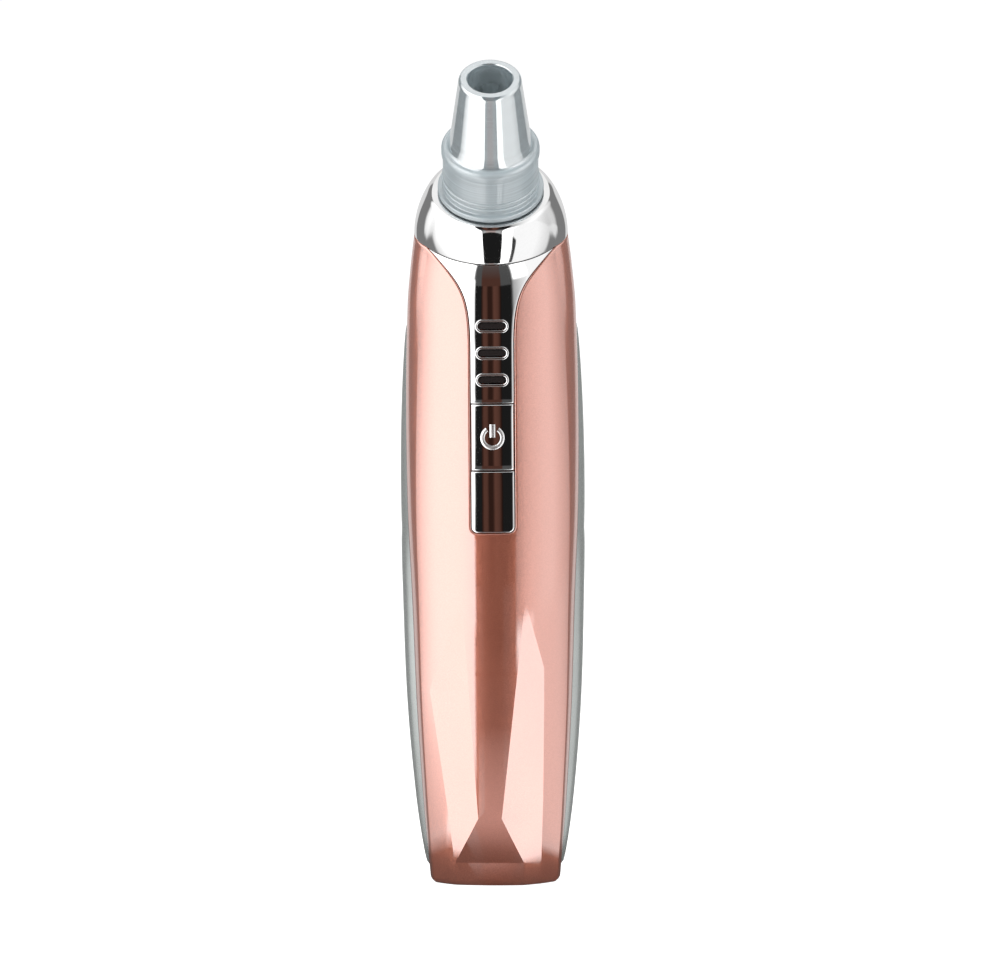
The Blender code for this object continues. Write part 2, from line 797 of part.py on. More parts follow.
def web_holes():
    """Return the holes behind the strip: the light pipes, the button's stem and the screws."""
    holes = []
    for z in led_heights():
        gap = 2 * SEAM_GAP
        outline = pill(LIGHT_PIPE_WIDTH + gap, LIGHT_PIPE_HEIGHT + gap, (0.0, z), 4)
        holes.append(extruded(outline, -FACET_REACH, board_face() - 2 * SEAT_GAP, "Y"))
    half = STEM_WIDTH / 2 + SEAT_GAP
    z = button_middle()
    deep = (-FACET_REACH, board_face() - 2 * SEAT_GAP)
    holes.append(block(around(0.0, half), deep, around(z, half)))
    for x, z in board_screw_places():
        deep = strip_y(z) + WALL
        holes.append(level(x, z, SCREW_RADIUS + SEAM_GAP, deep, board_face() + WALL))
    return holes


def make_shells(guides, materials):
    """Make the front and rear shells around the cavity."""
    front = finish("front_shell", loft(body_form()), materials["rose_paint"])
    boolean(front, guides["front_half"], "INTERSECT")
    boolean(front, guides["front_cavity"], "DIFFERENCE")
    boolean(front, guides["panel_pocket"], "DIFFERENCE")
    boolean(front, cutter("guide_web_holes", merged(web_holes())), "DIFFERENCE")
    rear = finish("rear_shell", loft(body_form()), materials["rose_paint"])
    boolean(rear, guides["rear_half"], "INTERSECT")
    boolean(rear, guides["rear_cavity"], "DIFFERENCE")
    for shell in (front, rear):
        for name in ("left", "right"):
            boolean(shell, guides[f"channel_{name}"], "DIFFERENCE")
    for i in range(3):
        boolean(front, guides[f"facet_{i}"], "DIFFERENCE")
    hole = block(
        around(0.0, PORT_WIDTH / 2 + PORT_CLEARANCE),
        around(PORT_SETBACK, PORT_DEPTH / 2 + PORT_CLEARANCE),
        (-FLOOR, 2 * FLOOR),
    )
    vents = []
    for i in range(VENT_COUNT):
        z = VENT_LOWEST + i * VENT_PITCH
        slot = pill(VENT_WIDTH, VENT_HEIGHT, (0.0, z), 4)
        vents.append(extruded(slot, pump_y(), FACET_REACH, "Y"))
    boolean(rear, cutter("guide_rear_holes", merged([hole] + vents)), "DIFFERENCE")


def make_trims(materials):
    """Make the silver crescent on each side."""
    for side, name in ((-1, "left_side_trim"), (1, "right_side_trim")):
        finish(name, loft(trim_rings(side, 0.0)), materials["silver"])


def make_strip(guides, materials):
    """Make the chrome panel, its light windows, the power button and the lower cell."""
    panel = skin_piece(
        "front_panel", panel_outline(BUTTON_BOTTOM + BUTTON_HEIGHT + SEAM_GAP), "panel",
        guides, materials["chrome"],
    )
    for i, z in enumerate(led_heights()):
        face = strip_y(z)
        rim_width = LED_WINDOW_WIDTH + 2 * BEZEL_WIDTH
        rim_height = LED_WINDOW_HEIGHT + 2 * BEZEL_WIDTH
        rim = pill(rim_width, rim_height, (0.0, z))
        rim = extruded(rim, face - BEZEL_RISE, face + PANEL_THICKNESS / 2, "Y")
        boolean(panel, cutter(f"guide_bezel_{i + 1}", rim), "UNION")
        window = pill(LED_WINDOW_WIDTH, LED_WINDOW_HEIGHT, (0.0, z))
        window = extruded(window, face - WALL, face + WALL, "Y")
        boolean(panel, cutter(f"guide_window_{i + 1}", window), "DIFFERENCE")
        make_lens(i, z, face, materials)
    skin_piece(
        "lower_panel", foot_outline(BUTTON_BOTTOM - SEAM_GAP), "panel",
        guides, materials["chrome"],
    )
    make_button(guides, materials)


def make_lens(index, z, face, materials):
    """Make one smoked light window with the light pipe behind it."""
    gap = 2 * SEAM_GAP
    front = face + BEZEL_WIDTH / 2
    outline = pill(LED_WINDOW_WIDTH - gap, LED_WINDOW_HEIGHT - gap, (0.0, z))
    back = face + PANEL_THICKNESS
    lens = finish(f"led_lens_{index + 1}", extruded(outline, front, back, "Y"), materials["smoke"])
    pipe = pill(LIGHT_PIPE_WIDTH, LIGHT_PIPE_HEIGHT, (0.0, z), 4)
    end = board_face() - LED_CHIP_THICKNESS - 2 * SEAT_GAP
    rod = cutter(f"guide_light_pipe_{index + 1}", extruded(pipe, back - SEAT_GAP, end, "Y"))
    boolean(lens, rod, "UNION")


def plunger_tip():
    """Return y of the switch plunger's free end."""
    return strip_y(button_middle()) + PANEL_POCKET + SEAT_GAP


def make_button(guides, materials):
    """Make the power button, which slides straight in along Y."""
    half = STRIP_HALF_WIDTH
    outline = (
        (-half, BUTTON_BOTTOM), (half, BUTTON_BOTTOM),
        (half, BUTTON_BOTTOM + BUTTON_HEIGHT), (-half, BUTTON_BOTTOM + BUTTON_HEIGHT),
    )
    z = button_middle()
    face = strip_y(z)
    origin = (0.0, face, z)
    button = skin_piece("power_button", outline, "button", guides, materials["chrome"], origin)
    stem = block(
        around(0.0, STEM_WIDTH / 2),
        (face + BUTTON_THICKNESS / 2, plunger_tip() - SEAT_GAP),
        around(z, STEM_WIDTH / 2),
    )
    boolean(button, cutter("guide_button_stem", stem), "UNION")


# Nose, suction head and the air path


def nose_rings(inset, low, high, rows):
    """Return rings that run from the body's seam to the round seat of the suction head."""
    seat_y, seat_z = nose_seat()
    rings = []
    for i in range(rows + 1):
        s = low + (high - low) * i / rows
        y = SEAM_SETBACK + (seat_y - SEAM_SETBACK) * s
        z = SEAM_HEIGHT + (seat_z - SEAM_HEIGHT) * s
        tilt = SEAM_TILT + (NOSE_TILT - SEAM_TILT) * s
        along = max(s, 0.0)
        blend = (1 - math.sqrt(max(1 - along ** 2, 0.0)) + along ** 2) / 2
        ring = []
        for x, depth in section(1.0):
            size = math.hypot(x, depth)
            round_x, round_depth = x / size * NOSE_RADIUS, depth / size * NOSE_RADIUS
            full_x = x + (round_x - x) * blend
            full_depth = depth + (round_depth - depth) * blend
            shrink = 1 - inset / math.hypot(full_x, full_depth)
            full_x, full_depth = full_x * shrink, full_depth * shrink
            ring.append(Vector((
                full_x, y + full_depth * math.cos(tilt), z + full_depth * math.sin(tilt),
            )))
        rings.append(ring)
    return rings


def nose_seat():
    """Return (y, z) of the middle of the seat that the suction head stands on."""
    return (
        SEAM_SETBACK - NOSE_LENGTH * math.sin(NOSE_TILT),
        SEAM_HEIGHT + NOSE_LENGTH * math.cos(NOSE_TILT),
    )


def make_nose_axis():
    """Make the empty whose Z is the nose axis and whose origin is the head's seat."""
    axis = bpy.data.objects.new("nose_axis", None)
    y, z = nose_seat()
    axis.location = (0.0, y * MM, z * MM)
    axis.rotation_euler = (NOSE_TILT, 0.0, 0.0)
    bpy.context.scene.collection.objects.link(axis)
    return axis


def collar_bore():
    """Return the inside radius of the suction head's collar."""
    return COLLAR_RADIUS - COLLAR_WALL


def holder_radius():
    """Return the outside radius of the holder that the suction head slips over."""
    return collar_bore() - RUN_GAP


def make_nose(axis, materials):
    """Make the chrome nose ring and the holder, seal and filter inside it."""
    outside = nose_rings(0.0, SEAM_GAP / NOSE_LENGTH, 1.0, NOSE_ROWS)
    ring = finish("nose_ring", loft(outside), materials["chrome"])
    lid = 1.0 - NOSE_WALL / NOSE_LENGTH
    hollow = nose_rings(NOSE_WALL, -NOSE_WALL / NOSE_LENGTH, lid, NOSE_ROWS)
    boolean(ring, cutter("guide_nose_hollow", loft(hollow)), "DIFFERENCE")
    hole = turned([
        (0.0, -2 * NOSE_WALL), (holder_radius() + SEAT_GAP, -2 * NOSE_WALL),
        (holder_radius() + SEAT_GAP, NOSE_WALL), (0.0, NOSE_WALL),
    ])
    boolean(ring, cutter("guide_nose_hole", hole, axis), "DIFFERENCE")
    make_holder(axis, materials)


def make_holder(axis, materials):
    """Make the head holder with its duct, the seal in its groove and the filter in its seat."""
    outer = holder_radius()
    inner = outer - HOLDER_WALL
    under = -NOSE_WALL - SEAT_GAP
    flange = outer + HOLDER_FLANGE - SEAT_GAP
    low = under - HOLDER_FLANGE_HEIGHT
    groove_low, groove_high = SEAL_CENTRE - SEAL_WIDTH / 2, SEAL_CENTRE + SEAL_WIDTH / 2
    groove = outer - SEAL_DEPTH
    holder = [
        (DUCT_RADIUS, low - HOLDER_TAIL), (BARB_RADIUS, low - HOLDER_TAIL),
        (BARB_RADIUS, low), (flange, low), (flange, under), (outer, under),
        (outer, groove_low - SEAT_GAP), (groove, groove_low - SEAT_GAP),
        (groove, groove_high + SEAT_GAP), (outer, groove_high + SEAT_GAP),
        (outer, HOLDER_HEIGHT), (inner, HOLDER_HEIGHT),
        (inner, FILTER_SEAT), (DUCT_RADIUS, FILTER_SEAT),
    ]
    finish("head_holder", turned(holder), materials["white_plastic"], parent=axis)
    seal = [
        (groove + SEAT_GAP, groove_low), (outer, groove_low),
        (collar_bore() - SEAM_GAP, groove_low + SEAL_WIDTH / 3),
        (collar_bore() - SEAM_GAP, groove_high - SEAL_WIDTH / 3),
        (outer, groove_high), (groove + SEAT_GAP, groove_high),
    ]
    finish("seal_ring", turned(seal), materials["silicone"], parent=axis)
    low = FILTER_SEAT + SEAT_GAP
    pad = disc(inner - SEAT_GAP, low, low + FILTER_THICKNESS)
    finish("filter_pad", pad, materials["foam"], parent=axis)


def make_suction_head(axis, materials):
    """Make the clear head: flange, ringed collar, shoulder, cone and round mouth."""
    ring = COLLAR_RING
    low = SEAT_GAP
    shoulder = COLLAR_HEIGHT
    profile = [
        (collar_bore(), low), (FLANGE_RADIUS - ring, low), (FLANGE_RADIUS, low + ring),
        (FLANGE_RADIUS, FLANGE_HEIGHT - ring), (FLANGE_RADIUS - ring, FLANGE_HEIGHT),
        (COLLAR_RADIUS, FLANGE_HEIGHT + ring),
    ]
    for height in (FLANGE_HEIGHT + 1.4, FLANGE_HEIGHT + 2.8):
        profile += [
            (COLLAR_RADIUS, height - ring), (COLLAR_RADIUS + ring, height),
            (COLLAR_RADIUS, height + ring),
        ]
    profile += [
        (COLLAR_RADIUS, shoulder - 2.4), (COLLAR_RADIUS + ring, shoulder - 2.0),
        (COLLAR_RADIUS + ring, shoulder - 0.6), (COLLAR_RADIUS - ring, shoulder),
        (CONE_RADIUS + ring, shoulder + ring), (CONE_RADIUS, shoulder + 3 * ring),
    ]
    lip = 0.8
    slope = (CONE_RADIUS - TIP_RADIUS) / (TIP_HEIGHT - shoulder)
    profile.append((TIP_RADIUS + slope * lip, TIP_HEIGHT - lip))
    profile += [
        (TIP_RADIUS - 0.3 * lip, TIP_HEIGHT - 0.3 * lip), (TIP_RADIUS - lip, TIP_HEIGHT),
        (MOUTH_RADIUS + lip / 2, TIP_HEIGHT), (MOUTH_RADIUS, TIP_HEIGHT - lip / 2),
        (CONE_BORE, shoulder - COLLAR_WALL), (CONE_BORE, HOLDER_HEIGHT + RUN_GAP),
        (collar_bore(), HOLDER_HEIGHT + RUN_GAP),
    ]
    finish("suction_head", turned(profile, HEAD_STEPS), materials["clear_head"], parent=axis)


def curve_points(stops, spacing):
    """Return points about one spacing apart on the smooth curve through the stops."""
    stops = [Vector(stop) for stop in stops]
    path = [2 * stops[0] - stops[1]] + stops + [2 * stops[-1] - stops[-2]]
    points = []
    for a, b, c, d in zip(path, path[1:], path[2:], path[3:]):
        steps = max(int(round((c - b).length / spacing)), 1)
        for i in range(steps):
            s = i / steps
            points.append(0.5 * (
                2 * b + (c - a) * s + (2 * a - 5 * b + 4 * c - d) * s ** 2
                + (3 * b - a - 3 * c + d) * s ** 3
            ))
    points.append(stops[-1])
    return points


def hose(name, stops, radius, material, spacing):
    """Make a solid round tube along the smooth curve through the stops."""
    curve = bpy.data.curves.new(name, "CURVE")
    curve.dimensions = "3D"
    curve.bevel_depth = radius * MM
    curve.bevel_resolution = 1
    curve.use_fill_caps = True
    points = curve_points(stops, spacing)
    spline = curve.splines.new("POLY")
    spline.points.add(len(points) - 1)
    for target, point in zip(spline.points, points):
        target.co = (*(point * MM), 1.0)
    curve.materials.append(material)
    item = bpy.data.objects.new(name, curve)
    bpy.context.scene.collection.objects.link(item)
    return item


def swept_ring(points, radius, steps):
    """Return rings of one radius that follow a path lying in the YZ plane."""
    rings = []
    for i, point in enumerate(points):
        run = (points[min(i + 1, len(points) - 1)] - points[max(i - 1, 0)]).normalized()
        side = Vector((1.0, 0.0, 0.0))
        up = run.cross(side)
        angles = [2 * math.pi * k / steps for k in range(steps)]
        rings.append([point + (side * math.cos(a) + up * math.sin(a)) * radius for a in angles])
    return rings


def make_air_tube(materials):
    """Make the silicone tube between the pump's inlet barb and the head holder's tail."""
    stack = pump_stack()
    seat_y, seat_z = nose_seat()
    along = Vector((0.0, -math.sin(NOSE_TILT), math.cos(NOSE_TILT)))
    tail = -NOSE_WALL - SEAT_GAP - HOLDER_FLANGE_HEIGHT
    end = Vector((0.0, seat_y, seat_z)) + along * (tail - SEAT_GAP)
    low = Vector((0.0, pump_y(), stack["cover"][1] + SEAT_GAP))
    rise = Vector((0.0, 0.0, 1.0))
    stops = [low + rise * BARB_HEIGHT * share for share in (0.0, 0.5, 1.0, 1.5)]
    stops += [end - along * HOLDER_TAIL * share for share in (1.5, 1.0, 0.5, 0.0)]
    points = curve_points(stops, BARB_RADIUS * 2)
    outside = swept_ring(points, TUBE_RADIUS, TUBE_STEPS)
    tube = finish("air_tube", loft(outside), materials["silicone"])
    first, last = points[0], points[-1]
    bore_path = [first - rise] + points + [last + along]
    bore = swept_ring(bore_path, BARB_RADIUS + SEAM_GAP, TUBE_STEPS)
    boolean(tube, cutter("guide_tube_bore", loft(bore)), "DIFFERENCE")


# Motor and pump


def pump_stack():
    """Return the (low, high) heights of the pieces stacked on the motor."""
    base_low = MOTOR_BOTTOM + MOTOR_LENGTH + SEAT_GAP
    base_high = base_low + PUMP_DEPTH
    sheet_low = base_high + SEAT_GAP
    sheet_high = sheet_low + SHEET_THICKNESS
    valve_low = sheet_high + SEAT_GAP
    valve_high = valve_low + VALVE_PLATE_THICKNESS
    flap_low = valve_high + SEAT_GAP
    flap_high = flap_low + FLAP_THICKNESS
    cover_low = flap_high + SEAT_GAP
    return {
        "base": (base_low, base_high),
        "sheet": (sheet_low, sheet_high),
        "valve": (valve_low, valve_high),
        "flap": (flap_low, flap_high),
        "cover": (cover_low, cover_low + COVER_HEIGHT),
    }


def ring_places(count, ring, turn):
    """Return (x, y) places evenly spaced around the pump's axis."""
    places = []
    for i in range(count):
        angle = 2 * math.pi * i / count + turn
        places.append((ring * math.sin(angle), pump_y() + ring * math.cos(angle)))
    return places


def on_pump_axis(data):
    """Move a bmesh that was turned about Z onto the motor and pump axis."""
    data.transform(Matrix.Translation((0.0, pump_y(), 0.0)))
    return data


def pump_screw_places():
    """Return (x, y) of the pump's long screws, between its cups."""
    return ring_places(CUP_COUNT, PUMP_SCREW_RING, math.pi / CUP_COUNT)


def screw_holes(name):
    """Return a cutter with the three long screws' clearance holes."""
    low, high = MOTOR_BOTTOM, pump_stack()["cover"][1] + WALL
    radius = PUMP_SCREW_RADIUS + SEAM_GAP
    holes = [upright(x, y, radius, low, high) for x, y in pump_screw_places()]
    return cutter(name, merged(holes))


def make_motor(materials):
    """Make the motor: can, end cap, magnets and the spinning rotor and shaft."""
    low = MOTOR_BOTTOM + CAP_FLANGE + SEAT_GAP
    high = MOTOR_BOTTOM + MOTOR_LENGTH
    inside = MOTOR_RADIUS - MOTOR_WALL
    bore = SHAFT_RADIUS + SEAT_GAP
    boss = high + MOTOR_BOSS_HEIGHT
    can = [
        (MOTOR_RADIUS, low), (MOTOR_RADIUS, high - MOTOR_WALL), (MOTOR_RADIUS - MOTOR_WALL, high),
        (MOTOR_BOSS_RADIUS, high), (MOTOR_BOSS_RADIUS, boss), (bore, boss),
        (bore, high - 2 * MOTOR_WALL), (inside - MOTOR_WALL, high - 2 * MOTOR_WALL),
        (inside, high - 3 * MOTOR_WALL), (inside, low),
    ]
    finish("motor_can", on_pump_axis(turned(can)), materials["steel"])
    plug = inside - SEAT_GAP
    rim = MOTOR_BOTTOM + CAP_FLANGE
    cap = [
        (0.0, MOTOR_BOTTOM), (MOTOR_RADIUS, MOTOR_BOTTOM), (MOTOR_RADIUS, rim),
        (plug, rim), (plug, rim + CAP_PLUG), (bore, rim + CAP_PLUG), (bore, rim), (0.0, rim),
    ]
    finish("motor_end_cap", on_pump_axis(turned(cap)), materials["white_plastic"])
    magnet_low = rim + CAP_PLUG + RUN_GAP
    outer = inside - SEAT_GAP
    inner = outer - MAGNET_THICKNESS
    half = math.degrees(MAGNET_ARC) / 2
    for i, middle in enumerate((0, 180)):
        outline = arc((0.0, pump_y()), outer, middle - half, middle + half, 12)
        outline += arc((0.0, pump_y()), inner, middle + half, middle - half, 12)
        data = extruded(outline, magnet_low, magnet_low + MAGNET_HEIGHT, "Z")
        finish(f"motor_magnet_{i + 1}", data, materials["ferrite"])
    make_rotor(inner, magnet_low, materials)


def make_rotor(magnet_inner, magnet_low, materials):
    """Make the turning pieces: rotor, shaft, eccentric hub and its pin."""
    origin = (0.0, pump_y(), MOTOR_BOTTOM)
    bore = SHAFT_RADIUS + SEAT_GAP
    low = magnet_low + (MAGNET_HEIGHT - ROTOR_HEIGHT) / 2
    radius = magnet_inner - RUN_GAP
    core = [(bore, low), (radius, low), (radius, low + ROTOR_HEIGHT), (bore, low + ROTOR_HEIGHT)]
    finish("rotor_core", on_pump_axis(turned(core)), materials["steel"], origin)
    hub_low, hub_high = hub_span()
    shaft_low = MOTOR_BOTTOM + CAP_FLANGE + SEAT_GAP
    shaft_high = hub_low + HUB_BORE - SEAT_GAP
    shaft = [(0.0, shaft_low), (SHAFT_RADIUS, shaft_low), (SHAFT_RADIUS, shaft_high), (0.0, shaft_high)]
    finish("motor_shaft", on_pump_axis(turned(shaft, SMALL_STEPS)), materials["steel"], origin)
    hub = [
        (0.0, hub_low + HUB_BORE), (bore, hub_low + HUB_BORE), (bore, hub_low), (HUB_RADIUS, hub_low),
        (HUB_RADIUS, hub_high), (0.0, hub_high),
    ]
    item = finish("eccentric_hub", on_pump_axis(turned(hub)), materials["white_plastic"], origin)
    foot, tip = pin_ends()
    hole = pin_solid(foot, tip, PIN_RADIUS + SEAM_GAP)
    boolean(item, cutter("guide_pin_hole", hole), "DIFFERENCE")
    step = (tip - foot).normalized() * SEAM_GAP
    finish("drive_pin", pin_solid(foot + step, tip, PIN_RADIUS), materials["steel"], origin)


def hub_span():
    """Return the (low, high) heights of the eccentric hub."""
    low = MOTOR_BOTTOM + MOTOR_LENGTH + MOTOR_BOSS_HEIGHT + RUN_GAP
    return low, low + HUB_HEIGHT


def plate_low():
    """Return the height of the wobble plate's underside."""
    return pump_stack()["base"][0] + PUMP_FLOOR + PLATE_LIFT


def pin_ends():
    """Return the foot and tip of the slanted pin that drives the wobble plate."""
    hub_high = hub_span()[1]
    tip = Vector((0.0, pump_y(), plate_low() + PLATE_THICKNESS / 2))
    top = Vector((PIN_OFFSET, pump_y(), hub_high))
    foot = top + (top - tip) * (PIN_SEAT / (tip.z - hub_high))
    return foot, tip


def pin_solid(foot, tip, radius):
    """Return a bmesh cylinder between two points."""
    run = tip - foot
    data = upright(0.0, 0.0, radius, 0.0, run.length)
    turn = Vector((0.0, 0.0, 1.0)).rotation_difference(run.normalized()).to_matrix().to_4x4()
    data.transform(Matrix.Translation(foot) @ turn)
    return data


def make_pump(materials):
    """Make the diaphragm pump on top of the motor."""
    stack = pump_stack()
    low, high = stack["base"]
    inside = PUMP_RADIUS - PUMP_WALL
    boss = MOTOR_BOSS_RADIUS + SEAT_GAP
    base = [
        (boss, low), (PUMP_RADIUS, low), (PUMP_RADIUS, high), (inside, high),
        (inside, low + PUMP_FLOOR), (boss, low + PUMP_FLOOR),
    ]
    item = finish("pump_base", on_pump_axis(turned(base)), materials["black_plastic"])
    boolean(item, screw_holes("guide_base_holes"), "DIFFERENCE")
    make_wobble_plate(inside, materials)
    make_diaphragm(stack["sheet"], materials)
    low, high = stack["valve"]
    item = finish("valve_plate", on_pump_axis(disc(PUMP_RADIUS, low, high)), materials["white_plastic"])
    holes = []
    for ring in (CUP_RING, CUP_RING / 2):
        for x, y in ring_places(CUP_COUNT, ring, 0.0):
            holes.append(upright(x, y, VALVE_HOLE_RADIUS, low - WALL, high + WALL, TUBE_STEPS))
    boolean(item, cutter("guide_valve_holes", merged(holes)), "DIFFERENCE")
    boolean(item, screw_holes("guide_valve_screws"), "DIFFERENCE")
    low, high = stack["flap"]
    flap_radius = PUMP_SCREW_RING - PUMP_SCREW_RADIUS - 2 * SEAT_GAP
    finish("valve_flap", on_pump_axis(disc(flap_radius, low, high)), materials["rubber"])
    make_pump_cover(stack["cover"], materials)
    make_pump_screws(stack, materials)


def disc(radius, low, high, steps=ROUND_STEPS):
    """Return a bmesh disc about Z."""
    return turned([(0.0, low), (radius, low), (radius, high), (0.0, high)], steps)


def make_wobble_plate(inside, materials):
    """Make the plate that nutates on the slanted pin and pulls the three cups."""
    low = plate_low()
    high = low + PLATE_THICKNESS
    rim = inside - RUN_GAP
    bore = PIN_RADIUS + RUN_GAP
    foot = low - PLATE_THICKNESS / 2
    plate = [
        (bore, foot), (PLATE_BOSS_RADIUS, foot), (PLATE_BOSS_RADIUS, low), (rim, low),
        (rim, high), (bore, high),
    ]
    origin = (0.0, pump_y(), (low + high) / 2)
    item = finish("wobble_plate", on_pump_axis(turned(plate)), materials["white_plastic"], origin)
    holes = []
    for x, y in ring_places(CUP_COUNT, CUP_RING, 0.0):
        holes.append(upright(x, y, TAIL_RADIUS + SEAT_GAP, low - WALL, high + WALL, TUBE_STEPS))
    boolean(item, cutter("guide_tail_holes", merged(holes)), "DIFFERENCE")


def make_diaphragm(span, materials):
    """Make the rubber sheet with three open cups and their tails."""
    low, high = span
    item = finish("diaphragm", on_pump_axis(disc(PUMP_RADIUS, low, high)), materials["rubber"])
    tail_low = plate_low() + SEAT_GAP
    floor = high - CUP_DEPTH
    cups, hollows = [], []
    for x, y in ring_places(CUP_COUNT, CUP_RING, 0.0):
        cup = [
            (0.0, tail_low), (TAIL_RADIUS, tail_low), (TAIL_RADIUS, floor - CUP_WALL),
            (CUP_RADIUS, floor), (CUP_RADIUS, low + SHEET_THICKNESS / 2),
            (0.0, low + SHEET_THICKNESS / 2),
        ]
        data = turned(cup, SMALL_STEPS)
        data.transform(Matrix.Translation((x, y, 0.0)))
        cups.append(data)
        hollows.append(upright(x, y, CUP_RADIUS - CUP_WALL, floor + CUP_WALL, high + WALL))
    boolean(item, cutter("guide_cups", merged(cups)), "UNION")
    boolean(item, cutter("guide_cup_hollows", merged(hollows)), "DIFFERENCE")
    boolean(item, screw_holes("guide_sheet_screws"), "DIFFERENCE")


def make_pump_cover(span, materials):
    """Make the pump's cover with its inlet barb."""
    low, high = span
    barb = high + BARB_HEIGHT
    room = PUMP_SCREW_RING - PUMP_SCREW_HEAD - 2 * SEAT_GAP
    step = low + COVER_HEIGHT / 2
    cover = [
        (DUCT_RADIUS, low + PLATE_THICKNESS), (DUCT_RADIUS, barb), (BARB_RADIUS, barb),
        (BARB_RADIUS, high), (room, high), (room, step), (PUMP_RADIUS, step),
        (PUMP_RADIUS, low), (CUP_RING, low), (CUP_RING, low + PLATE_THICKNESS),
    ]
    item = finish("pump_cover", on_pump_axis(turned(cover)), materials["black_plastic"])
    boolean(item, screw_holes("guide_cover_holes"), "DIFFERENCE")


def make_pump_screws(stack, materials):
    """Make the three long screws that clamp the pump together."""
    seat = stack["cover"][0] + COVER_HEIGHT / 2 + SEAT_GAP
    tip = stack["base"][0] + PUMP_FLOOR
    profile = [
        (0.0, tip), (PUMP_SCREW_RADIUS, tip), (PUMP_SCREW_RADIUS, seat), (PUMP_SCREW_HEAD, seat),
        (PUMP_SCREW_HEAD, seat + SCREW_HEAD_HEIGHT), (0.0, seat + SCREW_HEAD_HEIGHT),
    ]
    for i, (x, y) in enumerate(pump_screw_places()):
        data = turned(profile, SMALL_STEPS)
        data.transform(Matrix.Translation((x, y, 0.0)))
        finish(f"pump_screw_{i + 1}", data, materials["steel"])


def make_motor_sleeve(materials):
    """Make the rubber sleeve that keeps the motor's buzz from the shells."""
    inner = MOTOR_RADIUS + SEAT_GAP
    outer = inner + SLEEVE_THICKNESS
    low = MOTOR_BOTTOM + CAP_FLANGE + 2 * SEAT_GAP
    high = MOTOR_BOTTOM + MOTOR_LENGTH - 2 * SEAT_GAP
    sleeve = [(inner, low), (outer, low), (outer, high), (inner, high)]
    finish("motor_sleeve", on_pump_axis(turned(sleeve)), materials["rubber"])


# Control board and what sits on it


def screw_solid(x, z, seat, tip):
    """Return a bmesh screw that lies along Y with its head behind the seat."""
    neck = seat - tip
    profile = [
        (0.0, 0.0), (SCREW_RADIUS, 0.0), (SCREW_RADIUS, neck), (SCREW_HEAD_RADIUS, neck),
        (SCREW_HEAD_RADIUS, neck + SCREW_HEAD_HEIGHT), (0.0, neck + SCREW_HEAD_HEIGHT),
    ]
    data = turned(profile, SMALL_STEPS)
    data.transform(Matrix.Translation((x, tip, z)) @ Matrix.Rotation(-math.pi / 2, 4, "X"))
    return data


def make_board(materials):
    """Make the control board, its screws, switch, lights and chip."""
    face, back = board_face(), board_back()
    data = block(around(0.0, BOARD_HALF_WIDTH), (face, back), (BOARD_BOTTOM, BOARD_TOP))
    board = finish("main_board", data, materials["board"])
    bore = SCREW_RADIUS + SEAM_GAP
    holes = [level(x, z, bore, face - WALL, back + WALL) for x, z in board_screw_places()]
    boolean(board, cutter("guide_board_holes", merged(holes)), "DIFFERENCE")
    for i, (x, z) in enumerate(board_screw_places()):
        tip = strip_y(z) + WALL + SEAT_GAP
        finish(f"board_screw_{i + 1}", screw_solid(x, z, back + SEAT_GAP, tip), materials["steel"])
    make_switch(face, materials)
    for i, z in enumerate(led_heights()):
        data = block(
            around(0.0, LED_CHIP_WIDTH / 2),
            (face - SEAT_GAP - LED_CHIP_THICKNESS + SEAM_GAP, face - SEAM_GAP),
            around(z, LED_CHIP_HEIGHT / 2),
        )
        finish(f"led_{i + 1}", data, materials["white_plastic"])
    middle = BOARD_TOP - 2 * BOARD_SCREW_MARGIN - CHIP_SIZE
    data = block(
        around(0.0, CHIP_SIZE / 2),
        (back + SEAM_GAP, back + SEAM_GAP + CHIP_THICKNESS),
        around(middle, CHIP_SIZE / 2),
    )
    finish("control_chip", data, materials["black_plastic"])


def make_switch(face, materials):
    """Make the push switch: a body on the board and the plunger that the button drives."""
    z = button_middle()
    front = face - SEAM_GAP - SWITCH_THICKNESS
    body = finish(
        "switch_body",
        block(around(0.0, SWITCH_WIDTH / 2), (front, face - SEAM_GAP), around(z, SWITCH_WIDTH / 2)),
        materials["black_plastic"],
    )
    floor = face - SEAM_GAP - SEAT_GAP / 2
    well = level(0.0, z, PLUNGER_RADIUS + SEAM_GAP, front - WALL, floor)
    boolean(body, cutter("guide_switch_well", well), "DIFFERENCE")
    end = floor - BUTTON_TRAVEL - SEAM_GAP / 2
    finish(
        "switch_plunger",
        level(0.0, z, PLUNGER_RADIUS, plunger_tip(), end),
        materials["white_plastic"],
        (0.0, plunger_tip(), z),
    )


# Battery and charging inlet


def make_battery(materials):
    """Make the rechargeable cell and the tabs on its ends."""
    low, high = CELL_BOTTOM, CELL_BOTTOM + CELL_LENGTH
    edge = 0.5
    cell = [
        (0.0, low), (CELL_RADIUS - edge, low), (CELL_RADIUS, low + edge),
        (CELL_RADIUS, high - edge), (CELL_RADIUS - edge, high), (0.0, high),
    ]
    data = turned(cell)
    data.transform(Matrix.Translation((0.0, cell_y(), 0.0)))
    finish("battery_cell", data, materials["cell_wrap"])
    under = low - SEAM_GAP - TAB_THICKNESS
    for name, z in (("battery_tab_minus", under), ("battery_tab_plus", high + SEAM_GAP)):
        data = block(around(0.0, TAB_WIDTH / 2), around(cell_y(), TAB_WIDTH), (z, z + TAB_THICKNESS))
        finish(name, data, materials["steel"])


